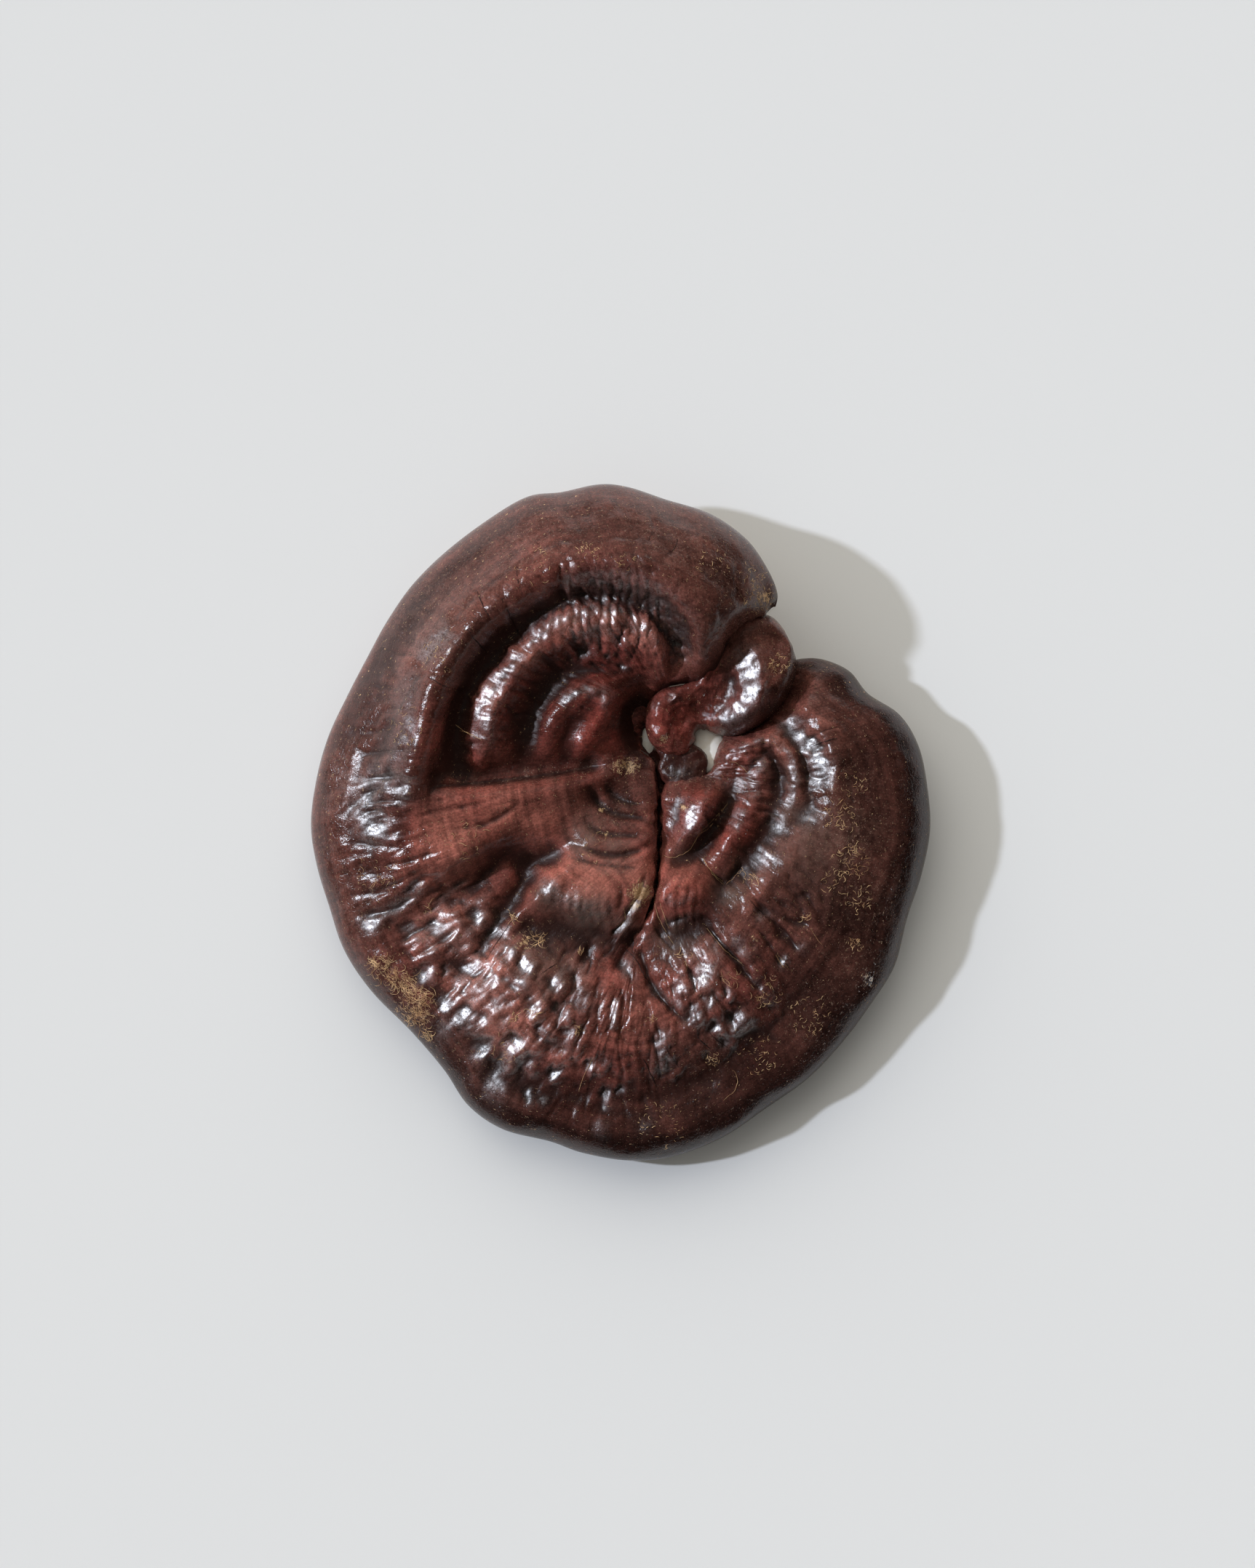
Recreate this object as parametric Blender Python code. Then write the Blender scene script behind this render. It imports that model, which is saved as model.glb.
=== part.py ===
"""Dried reishi mushroom: one fruiting body that grew round the end of its stem.

The cap starts at a tip beside a notch, runs once round the hilum, where the stem
joins it, and ends at a second tip on the other side of the notch. A small kidney
lobe fills the notch and is carried by an arm and a bud that rise from the stem.
All of it grew as one piece, so all of it is one closed solid.

Plan places and heights are in millimetres, X to the right, Y to the top of the
plan view and Z up from the table; MM turns them into metres.
"""
import math

import bmesh
import bpy
import numpy as np

MM = 0.001

# Driving sizes
CAP_SECTION_POINTS = 128
CAP_ROWS = 288
BATCH = 2000
TOP_SHARE = 0.70
RIM_SHARE = 0.16
INNER_SHARE = 0.08
UNDER_RIM = 9.0
LINE_STEP = 3.2
TOP_SOFTNESS = 2.6
UNDER_SOFTNESS = 8.0
VOXEL = 1.0
FACE_SHARE = 0.073
LOBE_SEGMENTS = 32
STEM_SEGMENTS = 48
LOBE_ROWS = 40
LOBE_STEP = 0.02
FLAT_END = 0.1
CREASE_POINTS = 12
MOST_ROUNDING = 0.45
SMALLEST = 0.001
STEM_X = 9.5
STEM_Y = 9.5
STEM_RADIUS = 9.2
CUT_BLOCK = 40.0
CUT_WIDTH = 200.0

# The cap's outline, from the upper tip round the top, left, foot and right to the
# second tip, and, point for point, the inner edge that the cap grew from
MARGIN = (
    (37.6, 52.6), (38.0, 56.0), (35.5, 62.0), (30.5, 69.0), (22.0, 75.0), (11.0, 78.6),
    (2.0, 81.6), (-5.0, 82.3), (-14.0, 80.5), (-22.0, 79.5), (-30.0, 75.2), (-41.0, 67.2),
    (-50.0, 58.6), (-56.5, 49.5), (-61.5, 40.5), (-66.0, 32.0), (-71.0, 21.5), (-74.0, 11.0),
    (-75.4, 0.0), (-74.0, -10.0), (-71.0, -20.0), (-67.2, -31.0), (-60.5, -41.0), (-51.0, -50.6),
    (-43.0, -60.0), (-37.0, -68.8), (-28.5, -74.6), (-17.0, -77.6), (-9.0, -80.4), (2.0, -82.2),
    (13.0, -81.2), (25.0, -76.6), (36.0, -69.2), (46.0, -62.0), (54.5, -53.0), (61.5, -43.5),
    (67.0, -34.5), (70.0, -23.0), (73.6, -12.0), (75.6, -1.0), (74.8, 10.0), (72.6, 19.5),
    (68.0, 26.8), (60.5, 31.8), (56.0, 37.2), (50.0, 40.0), (44.8, 40.4), (41.6, 39.6),
)
INNER = (
    (37.6, 52.6), (34.5, 50.3), (30.0, 48.0), (26.3, 44.0), (24.0, 38.5), (19.5, 34.8),
    (15.0, 33.7), (11.0, 33.2), (7.5, 32.3), (5.0, 31.2), (3.0, 29.8), (1.5, 28.2),
    (0.7, 26.5), (0.3, 24.8), (0.1, 23.0), (0.1, 21.2), (0.6, 19.2), (2.2, 17.5),
    (4.6, 16.4), (7.0, 15.2), (8.4, 12.5), (8.6, 8.5), (8.6, 4.0), (8.6, -1.0),
    (8.6, -6.0), (8.5, -10.5), (8.3, -14.5), (7.4, -18.5), (5.8, -22.0), (3.6, -26.0),
    (6.9, -22.0), (8.8, -18.0), (9.5, -13.5), (9.8, -9.0), (9.8, -4.5), (9.8, 0.0),
    (9.9, 4.5), (10.4, 8.6), (13.5, 10.6), (17.5, 11.2), (21.0, 12.0), (23.2, 14.5),
    (23.6, 18.5), (26.0, 23.0), (30.5, 27.5), (35.5, 32.5), (39.0, 36.5), (41.6, 39.6),
)

# Heights of the widest line and radii of the rounding at both edges, each given at
# a few of the outline's points, counted from the upper tip
RIM_HEIGHT = (
    (0, 21), (3, 20.5), (6, 19), (9, 17), (12, 14), (15, 10.5), (18, 7.6), (21, 7.2), (24, 6.6),
    (27, 6), (29, 5.8), (32, 6.6), (35, 8), (38, 9), (41, 9.6), (44, 10.2), (47, 11),
)
INNER_HEIGHT = (
    (0, 21), (3, 19.5), (5, 18), (7, 16), (9, 13), (12, 12), (17, 12), (20, 10.5), (29, 12),
    (37, 10.5), (41, 11), (44, 10.5), (47, 11),
)
RIM_RADIUS = (
    (0, 9), (4, 12), (8, 13), (14, 12), (20, 11), (26, 10), (30, 10), (36, 11), (42, 11), (47, 8),
)
INNER_RADIUS = (
    (0, 9), (3, 8), (5, 6), (8, 4), (12, 3), (17, 2.5), (20, 2.2), (29, 2.6), (37, 2.2), (40, 2),
    (43, 4), (47, 8),
)

# The top of the cap: ridges, valleys and folds as lines of (x, y, height)
UPPER_LOBE = {
    "outer crest": ((20, 37.5, 26), (19.5, 41, 30), (18, 46.5, 33.5), (14.5, 52, 35.5), (9, 56.5, 36.5),
                    (2, 59.8, 37), (-6, 60.8, 37), (-14, 59, 36.5), (-22, 54.5, 35.5), (-29, 49.5, 34.5),
                    (-36, 42.5, 34), (-41, 34, 33), (-44, 25, 32), (-46, 16, 30.5), (-49, 9, 28.5)),
    "outer back": ((33, 54, 28), (31, 58, 29.5), (27, 63, 31), (20, 67.5, 32.5), (10, 70, 33.5),
                   (0, 71.5, 33.5), (-10, 70.5, 33), (-20, 68, 32), (-30, 63, 30.5), (-40, 55, 28.5),
                   (-47, 47, 27), (-52, 38, 25.5), (-56, 28, 24), (-59, 18, 22.5), (-61, 8, 21),
                   (-62, -2, 20), (-61, -12, 18.5), (-58.5, -22, 17.5), (-54, -31, 17), (-47, -40, 16.5),
                   (-39, -50, 16), (-32, -57, 15.3)),
    "rolled end": ((21, 60, 35), (26, 56, 33.5), (28.5, 52, 31.5), (26.5, 48, 30.5), (24, 44, 29.5),
                   (22.5, 40, 27.5)),
    "valley": ((13.5, 36, 22), (14.5, 41, 24), (13.2, 46, 25.5), (9.5, 51, 27), (4, 54.5, 28),
               (-4, 55.8, 28.5), (-13, 54.2, 28.5), (-21, 50, 28), (-28, 44.5, 27), (-34, 37.5, 26),
               (-38.5, 29, 25), (-40.5, 20, 24), (-41.5, 13, 22.5)),
    "second crest": ((9.5, 37, 25), (9.3, 41.5, 28), (7, 46.5, 30), (2.5, 50, 31), (-4, 51.3, 31.5),
                     (-11, 50, 31.5), (-17, 47.3, 31), (-21.5, 43, 30.5), (-27, 37.5, 29.5),
                     (-31.5, 31, 28.8), (-34, 24, 28), (-34.5, 17, 26), (-34, 12.5, 22)),
    "inner slope": ((5, 41, 25.5), (0, 43, 26.5), (-6, 44, 27), (-12, 43, 27), (-18, 39, 26),
                    (-23, 33, 25), (-27, 26, 24.5), (-28, 18, 23.5)),
    "bowl": ((6, 36, 19), (0, 37, 20), (-7, 37.5, 20.5), (-13, 35, 20.5), (-17.5, 30.5, 20),
             (-20.5, 25, 19.5), (-21.5, 19, 19), (-21, 14.5, 17.5)),
    "knob": ((-1.2, 30.5, 25.5), (-3.5, 32.3, 27.2), (-8, 32.4, 28), (-12, 30, 27.8), (-15.5, 26, 26.5),
             (-17.3, 21.5, 25), (-16.8, 17.5, 22.5)),
    "knob top": ((-3, 27, 25.5), (-8, 28, 26), (-12, 25, 24.5), (-13.5, 20, 22.5)),
    "curl": ((-5.5, 24, 25), (-8, 22, 24.5), (-9, 18, 23)),
    "gap outside the curl": ((-10.8, 22.5, 21.5), (-11.2, 18, 19.5)),
    "gap inside the curl": ((-5.5, 19.5, 20.5), (-6.5, 16.8, 18)),
    "pit side": ((-2, 22, 22), (-1, 18.5, 20)),
}
LEFT_FAN = {
    "fold foot": ((-44, 12, 24), (-37, 12.2, 20), (-30, 13, 18), (-22, 13.4, 17), (-14, 14.6, 16.5),
                  (-7, 15.8, 16.5)),
    "fold lip": ((-46, 7, 26.3), (-38, 7.3, 26), (-30, 8, 25.6), (-22, 9.2, 25), (-14, 10.3, 24),
                 (-8, 11.2, 22.5), (-1, 13.6, 20)),
    "fan": ((-53, 0, 25), (-45, 0, 26.3), (-36, 1.5, 26), (-28, 3, 25), (-20, 4, 24), (-13, 4.5, 23)),
    "fan edge": ((-55, -18, 20), (-49, -14, 22.6), (-42, -11.5, 24.2), (-36, -8.5, 24.8),
                 (-31.5, -4.5, 24.4), (-26, -1, 23.5), (-18, 0.2, 22.5)),
    "sunken sector": ((-53, -26, 17), (-46, -20.5, 17.8), (-39, -16, 18), (-32.5, -11, 18),
                      (-26, -7, 18.3), (-19, -4.5, 19), (-13, -2.5, 20)),
    "sector swelling": ((-47, -31, 18.5), (-41, -26, 20.5), (-34, -20, 20.5), (-27, -13.5, 19.5)),
    "furrow": ((-44, -42, 15.5), (-39, -36, 16.8), (-34, -30.5, 17.3), (-29, -24, 17.5), (-25, -18, 17.3),
               (-20.5, -12, 17.5), (-15, -8, 18.5), (-12, -4.6, 20.2)),
    "furrow edge": ((-38, -42, 18), (-33, -35, 20.5), (-28, -28, 20.5), (-24.5, -21.5, 20), (-19.5, -15, 22),
                    (-14, -10.5, 22.8), (-10, -7.5, 22.3)),
}
FOOT_SIDE = {
    "hilum": ((-1, 9, 17.5), (3, 7.5, 17.8)),
    "first terrace": ((-6.5, 7, 18.8), (-4, 3, 19.2), (0, 1.4, 19.4), (5, 1.6, 19.4)),
    "second terrace": ((-9.5, 3, 20.6), (-6, -2, 21), (0, -4, 21.4), (6.5, -3.8, 21.2)),
    "third terrace": ((-8.5, -6.3, 22.6), (-4, -8.5, 23), (1, -9, 23.2), (6, -8.5, 22.8)),
    "plateau": ((-14, -11.5, 23.6), (-7, -14, 24.4), (0, -15, 24.6), (5.5, -14.5, 23.6)),
    "plateau edge": ((-18.5, -15, 22.5), (-13, -18, 23), (-7, -19.6, 23.2), (-2, -20.5, 22.6)),
    "trough": ((-23, -24, 18), (-17, -23.5, 17.4), (-10, -25.2, 17), (-4, -26.6, 16.8), (1.5, -29.5, 16.6),
               (7, -28.5, 17.4), (12.5, -26, 17.8), (19, -23, 18)),
    "right plateau": ((12, -11, 21.5), (16.5, -11.8, 22.4), (20.5, -12, 21.4)),
    "right plateau edge": ((12, -20.8, 22), (16, -19.4, 22.6), (20.5, -17, 21.8)),
    "second swelling": ((-26, -31, 21.8), (-21, -34, 22), (-13, -37, 21), (-6, -39, 20.4), (1, -40, 20.2),
                        (8, -40, 19.6), (16, -37, 22), (22, -35, 22)),
    "outer swelling": ((-34, -43, 19.8), (-28, -50, 19.6), (-20, -54, 19), (-10, -55.5, 18.6),
                       (0, -56, 18.4), (9, -55.5, 18.6), (18, -52, 19), (27, -47, 19.6), (35, -41, 19.8)),
    "rim furrow": ((-28, -61, 14.4), (-20, -64.5, 13.4), (-10, -67.3, 13), (2, -68, 13), (12, -66, 13.3),
                   (20, -62.5, 13.8), (28, -57.5, 14.6), (36, -51, 15.4), (44, -42, 16.8)),
    "rim roll": ((-26, -67.5, 14.2), (-17, -70.3, 13.8), (-8, -72.3, 13.6), (3, -73.6, 13.4),
                 (14, -72, 13.6), (25, -67.2, 14), (35, -60.5, 14.5), (43, -53, 15), (50, -45.5, 15.6),
                 (55.5, -37, 16.5),
                 (59, -28, 17.4), (62, -18, 18), (64, -8, 18.8), (65, 2, 19.3), (64.5, 12, 19.6),
                 (61, 20.5, 19.8), (54, 28.5, 20)),
}
RIGHT_LOBE = {
    "right back": ((47, -32, 19.5), (51, -20, 20.5), (54, -8, 21.5), (55, 4, 22.2), (55, 14, 22.5)),
    "teardrop": ((19.5, 6.2, 21.6), (18, 3, 22.6), (15.8, -1, 22.2), (13, -5, 20.2)),
    "teardrop side": ((25.4, 8.4, 16.2), (24.2, 5, 16), (22, 2, 16.2), (19.6, -0.8, 16.6),
                      (17.4, -3.6, 17.2), (14.5, -7.8, 18.2)),
    "teardrop top": ((13, 8.6, 18), (17, 9.8, 17.8), (21.5, 9.8, 17.2)),
    "inner fold": ((31, 5, 20.8), (28, 0.5, 21.3), (25, -4, 21.5), (23.5, -8.5, 20.8)),
    "inner fold foot": ((37.5, 2, 18.6), (34, -2.5, 18.8), (31, -7, 19), (28.5, -11.5, 18.6), (24, -14, 19.5)),
    "outer fold": ((45, -2, 21.3), (40, -6, 21.8), (36, -11, 22), (33, -16, 22.3), (28, -20, 21.5)),
    "lower folds": ((43, -17, 21.2), (38, -23, 21), (32, -29, 21.6)),
    "foot fold": ((27, -26, 21.8), (22.5, -30, 22)),
    "ring": ((26.5, 15, 18.2), (28.5, 18, 19.3), (32, 20.2, 20.4), (36, 20.2, 20.8), (39.5, 17.6, 20.9),
             (41.7, 13.5, 20.8), (42.3, 9, 20.3), (41.5, 5, 19.6)),
    "ring groove": ((35.5, 18, 18.8), (38.5, 15, 18.3), (40, 11, 18), (39.8, 7, 17.8)),
    "ring bowl": ((29, 12, 17.8), (33, 15.5, 19.4), (35, 11, 19), (34, 7, 19)),
    "ring trough": ((38, 23.6, 18.4), (42, 20, 19), (44.5, 15, 19.2), (45.5, 9, 19.3), (45, 4, 19.3)),
    "right crest": ((44.5, 28.5, 21.5), (47.5, 24.5, 23), (50, 19, 23.6), (51, 13, 23.4), (50, 7, 22.6)),
    "lobe end": ((48, 34.5, 18.5), (53, 31.5, 19)),
    "notch foot": ((44.5, 37.5, 15), (43.2, 32.5, 15.6), (39.5, 28, 16), (35.5, 24.6, 15.6), (31, 22.6, 15),
                   (27, 21.6, 14.6)),
}

# Creases that run outwards through the top, as (points, depth, half width)
CREASES = (
    (((4.2, -24.5), (2.5, -28.5), (0.5, -32), (-1.5, -36)), 1.6, 1.5),
    (((9.2, -19), (9.6, -23), (11, -27)), 1.6, 1.5),
    (((4.5, -30), (7, -37), (11, -43), (16.5, -48)), 1.8, 1.5),
    (((19.5, -22), (24.5, -29), (29.5, -35), (34, -40)), 1.6, 1.4),
    (((-6.5, -28), (-9.5, -34), (-12, -40), (-16, -47)), 1.2, 1.5),
    (((28.5, -10.5), (33, -18), (37, -23.5), (43, -31)), 1.3, 1.4),
    (((19.5, -8.5), (22.5, -12), (25.6, -15)), 1.5, 1.3),
    (((30, -9.5), (27.6, -11.5), (26, -15)), 1.5, 1.3),
    (((-49, 2), (-42, 3.6), (-34, 5), (-28, 7.4)), 1.2, 1.3),
    (((-42, -1), (-34, -0.4), (-28, 2.4), (-24, 5.8)), 1.2, 1.3),
)

# The pore surface below, in the same way: it rests on the left and foot rims
UNDERSIDE = {
    "rim": ((28, 60, 14.5), (15, 69, 13), (0, 72, 12), (-20, 69, 10), (-38, 57, 7.5), (-52, 40, 4.4),
            (-61, 22, 1.8), (-66, 6, 0.3), (-65.5, -8, -0.4), (-61, -24, 0.5), (-52, -38, 0.9),
            (-40, -52, 0.9), (-27, -65, 0.3), (-10, -71.5, -0.4), (5, -72.5, 0.2), (20, -68, 1.0),
            (36, -59, 1.6), (50, -45, 2.3), (60, -28, 3.0), (65, -8, 3.5), (65, 12, 3.8), (57, 26, 4.2),
            (46, 32, 5)),
    "middle": ((12, 56, 15.5), (-10, 56, 14.5), (-30, 44, 12), (-42, 20, 8), (-46, 0, 5.5), (-36, -26, 4.5),
               (-12, -46, 4), (14, -46, 4.2), (36, -30, 5), (45, 0, 6), (42, 20, 7)),
    "hilum": ((26, 45, 15.5), (14, 40, 14.5), (4, 37, 13.5), (-14, 28, 12), (-13, 6, 9), (-5, -18, 7.2),
              (5, -30, 6.5), (15, -18, 7.2), (23, 0, 7.8), (26, 14, 8.2)),
}

# Lobes in the notch: spines of (x, y, z, half width, half height)
SMALL_LOBE = ((24.8, 25.2, 15, 3.7, 5.6), (29.3, 26.8, 16, 5.2, 6.8), (32.8, 31.5, 16.6, 6.9, 8.0),
              (34.0, 37.0, 16.8, 8.4, 8.8), (33.0, 42.0, 16.4, 8.0, 8.4))
BUD = ((11.8, 22.8, 15, 5.6, 7.2), (12.0, 25.0, 15.4, 5.8, 7.4), (12.3, 27.0, 15, 5.4, 6.8))
ARM = ((12, 29.4, 14, 4.8, 5.8), (17, 30.2, 14, 4.9, 6), (23, 32.0, 14.6, 5.0, 6.4), (28, 34, 16, 5, 6))

# Stem: rings of (z, centre x, centre y, radius along X, radius along Y)
STEM_RINGS = (
    (-2.0, STEM_X, STEM_Y, STEM_RADIUS, STEM_RADIUS), (1.5, STEM_X, STEM_Y, STEM_RADIUS, STEM_RADIUS),
    (4.2, 9.0, 9.0, 8.8, 11), (6.4, 8.0, 6.5, 10, 21), (8.2, 7.5, 4.5, 11, 30), (10.5, 7.5, 4.5, 9.5, 28.5),
)
NECK_RINGS = (
    (6.0, 13.5, 13.0, 5.5, 6.5), (10.0, 14.2, 13.6, 5.4, 6.6), (14.0, 14.8, 13.8, 5.2, 6.2),
    (16.0, 14.8, 13.6, 4.2, 5.0),
)
BUD_FOOT_RINGS = (
    (6.0, 12.0, 20.0, 5.0, 7.0), (10.0, 12.5, 21.0, 4.6, 7.5), (14.0, 12.3, 23.0, 4.6, 7.0),
)


def spline(points, t):
    """Read a smooth curve through points at t, counted in points from the first."""
    points = np.asarray(points, float)
    last = len(points) - 1
    t = np.clip(np.asarray(t, float), 0, last)
    i = np.minimum(t.astype(int), last - 1)
    f = (t - i)[..., None]
    before = points[np.maximum(i - 1, 0)]
    start = points[i]
    end = points[i + 1]
    after = points[np.minimum(i + 2, last)]
    linear = (end - before) * f
    square = (2 * before - 5 * start + 4 * end - after) * f ** 2
    cube = (3 * start - before - 3 * end + after) * f ** 3
    return 0.5 * (2 * start + linear + square + cube)


def keyed(keys, t):
    """Read a value given at a few of the outline's points, smoothly between them."""
    at, value = np.asarray(keys, float).T
    slope = np.gradient(value, at)
    i = np.clip(np.searchsorted(at, t, side="right") - 1, 0, len(at) - 2)
    step = at[i + 1] - at[i]
    s = (t - at[i]) / step
    start = (1 + 2 * s) * (1 - s) ** 2 * value[i] + s * (1 - s) ** 2 * step * slope[i]
    end = s ** 2 * (3 - 2 * s) * value[i + 1] + s ** 2 * (s - 1) * step * slope[i + 1]
    return start + end


def line_points(line):
    """Space points evenly along one height line."""
    line = np.asarray(line, float)
    length = np.linalg.norm(np.diff(line[:, :2], axis=0), axis=1).sum()
    count = max(2, int(round(length / LINE_STEP)) + 1)
    return spline(line, np.linspace(0, len(line) - 1, count))


class Surface:
    """A smooth height field through all points of some height lines."""

    def __init__(self, groups, softness):
        rows = []
        for group in groups:
            for line in group.values():
                rows.append(line_points(line))
        points = np.vstack(rows)
        self.places = points[:, :2]
        self.softness = softness
        self.mean = points[:, 2].mean()
        self.weights = np.linalg.solve(self.kernel(self.places), points[:, 2] - self.mean)

    def kernel(self, places):
        across_x = places[:, None, 0] - self.places[None, :, 0]
        across_y = places[:, None, 1] - self.places[None, :, 1]
        return np.sqrt(across_x ** 2 + across_y ** 2 + self.softness ** 2)

    def height(self, places):
        batches = np.array_split(places, len(places) // BATCH + 1)
        return self.mean + np.concatenate([self.kernel(batch) @ self.weights for batch in batches])


def crease_depth(places, line, depth, half_width):
    """Depth of one crease: full along the middle of its line, none at its ends."""
    line = spline(line, np.linspace(0, len(line) - 1, CREASE_POINTS))
    nearest = np.full(len(places), np.inf)
    run = np.zeros(len(places))
    for number, (start, end) in enumerate(zip(line[:-1], line[1:])):
        step = end - start
        share = np.clip((places - start) @ step / (step @ step), 0, 1)
        offset = ((places - start - share[:, None] * step) ** 2).sum(axis=1)
        run = np.where(offset < nearest, number + share, run)
        nearest = np.minimum(nearest, offset)
    taper = np.sin(math.pi * run / (CREASE_POINTS - 1)) ** 0.5
    return depth * taper * np.exp(-nearest / half_width ** 2)


def roundness(distance, radius):
    """Rise of a quarter ellipse: 0 at the edge, 1 from radius inwards."""
    inside = 1 - np.minimum(distance / radius, 1)
    return np.sqrt(np.clip(1 - inside ** 2, 0, 1))


def across(share, length, rim, inner):
    """Distance from the margin at a share of the way, closer set at both edges."""
    rim = np.minimum(rim, MOST_ROUNDING * length)
    inner = np.minimum(inner, MOST_ROUNDING * length)
    at_rim = rim * (1 - np.cos(math.pi / 2 * np.clip(share / RIM_SHARE, 0, 1)))
    at_inner = length - inner * (1 - np.cos(math.pi / 2 * np.clip((1 - share) / INNER_SHARE, 0, 1)))
    between = rim + (length - rim - inner) * (share - RIM_SHARE) / (1 - RIM_SHARE - INNER_SHARE)
    return np.where(share < RIM_SHARE, at_rim, np.where(share > 1 - INNER_SHARE, at_inner, between))


def place_cap(along, around, top, under):
    """Place points of the cap: along it from tip to tip, and around its section."""
    station = along * (len(MARGIN) - 1)
    margin = spline(MARGIN, station)
    inner = spline(INNER, station)
    length = np.maximum(np.linalg.norm(margin - inner, axis=1), SMALLEST)
    rim_radius = keyed(RIM_RADIUS, station)
    inner_radius = keyed(INNER_RADIUS, station)
    on_top = around < TOP_SHARE
    share = np.where(on_top, around / TOP_SHARE, (1 - around) / (1 - TOP_SHARE))
    distance = across(share, length, rim_radius, inner_radius)
    part = distance / length
    place = margin + (inner - margin) * part[:, None]
    middle = keyed(RIM_HEIGHT, station)
    middle = middle + (keyed(INNER_HEIGHT, station) - middle) * part ** 2 * (3 - 2 * part)
    inner_rise = roundness(length - distance, inner_radius)
    rise = roundness(distance, rim_radius) * inner_rise
    fall = roundness(distance, UNDER_RIM) * inner_rise
    ground = top.height(place)
    for line, depth, half_width in CREASES:
        ground = ground - crease_depth(place, line, depth, half_width)
    upper = middle + (ground - middle) * rise
    lower = middle - (middle - under.height(place)) * fall
    return np.column_stack((place, np.where(on_top, upper, lower)))


def place_lobe(along, around, spine):
    """Place points round a spine in plan, with a round end past each end of it."""
    spine = np.asarray(spine, float)
    length = np.linalg.norm(np.diff(spine[:, :2], axis=0), axis=1).sum()
    first = spine[0, 3]
    last = spine[-1, 3]
    run = (length + first + last) * (1 - np.cos(math.pi * along)) / 2 - first
    before = np.maximum(-run, 0)
    beyond = np.maximum(run - length, 0)
    at = np.clip(run / length, 0, 1) * (len(spine) - 1)
    rows = spline(spine, at)
    tangent = spline(spine, at + LOBE_STEP)[:, :2] - spline(spine, at - LOBE_STEP)[:, :2]
    tangent = tangent / np.linalg.norm(tangent, axis=1)[:, None]
    girth = np.sqrt(np.clip(1 - (before / first) ** 2 - (beyond / last) ** 2, 0, 1))
    angle = 2 * math.pi * around
    side = rows[:, 3] * girth * np.cos(angle)
    x = rows[:, 0] - tangent[:, 1] * side + tangent[:, 0] * (beyond - before)
    y = rows[:, 1] + tangent[:, 0] * side + tangent[:, 1] * (beyond - before)
    z = rows[:, 2] + rows[:, 4] * girth * np.sin(angle)
    return np.column_stack((x, y, z))


def place_stem(along, around, rings):
    """Place points round upright rings, closed flat at both ends."""
    share = np.clip((along - FLAT_END) / (1 - 2 * FLAT_END), 0, 1)
    rows = spline(rings, share * (len(rings) - 1))
    girth = np.clip(np.minimum(along, 1 - along) / FLAT_END, 0, 1)
    angle = 2 * math.pi * around
    x = rows[:, 1] + rows[:, 3] * girth * np.cos(angle)
    y = rows[:, 2] + rows[:, 4] * girth * np.sin(angle)
    return np.column_stack((x, y, rows[:, 0]))


def shaped_sphere(mesh, segments, rows, place, *shape):
    """Add a sphere to the mesh and set each of its points by place()."""
    ball = bmesh.ops.create_uvsphere(mesh, u_segments=segments, v_segments=rows, radius=1)
    points = np.array([vert.co[:] for vert in ball["verts"]])
    along = np.arccos(np.clip(points[:, 2], -1, 1)) / math.pi
    around = np.arctan2(points[:, 1], points[:, 0]) / (2 * math.pi) % 1
    for vert, spot in zip(ball["verts"], place(along, around, *shape) * MM):
        vert.co = spot
    faces = {face for vert in ball["verts"] for face in vert.link_faces}
    bmesh.ops.recalc_face_normals(mesh, faces=list(faces))


def clear_scene():
    for thing in list(bpy.data.objects):
        bpy.data.objects.remove(thing)


def lacquer():
    """Dark, red-brown crust with a dull gloss."""
    material = bpy.data.materials.new("dark_red_lacquer")
    material.use_nodes = True
    shader = material.node_tree.nodes["Principled BSDF"]
    shader.inputs["Base Color"].default_value = (0.098, 0.030, 0.022, 1)
    shader.inputs["Roughness"].default_value = 0.36
    return material


def make_cutter():
    """A block below the table, which cuts the stem's foot flat."""
    mesh = bpy.data.meshes.new("table_cut")
    block = bmesh.new()
    bmesh.ops.create_cube(block, size=1)
    bmesh.ops.scale(block, verts=block.verts, vec=(CUT_WIDTH * MM, CUT_WIDTH * MM, CUT_BLOCK * MM))
    bmesh.ops.translate(block, verts=block.verts, vec=(0, 0, -CUT_BLOCK / 2 * MM))
    block.to_mesh(mesh)
    block.free()
    cutter = bpy.data.objects.new("table_cut", mesh)
    bpy.context.scene.collection.objects.link(cutter)
    cutter.hide_render = True
    cutter.display_type = "WIRE"
    return cutter


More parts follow.
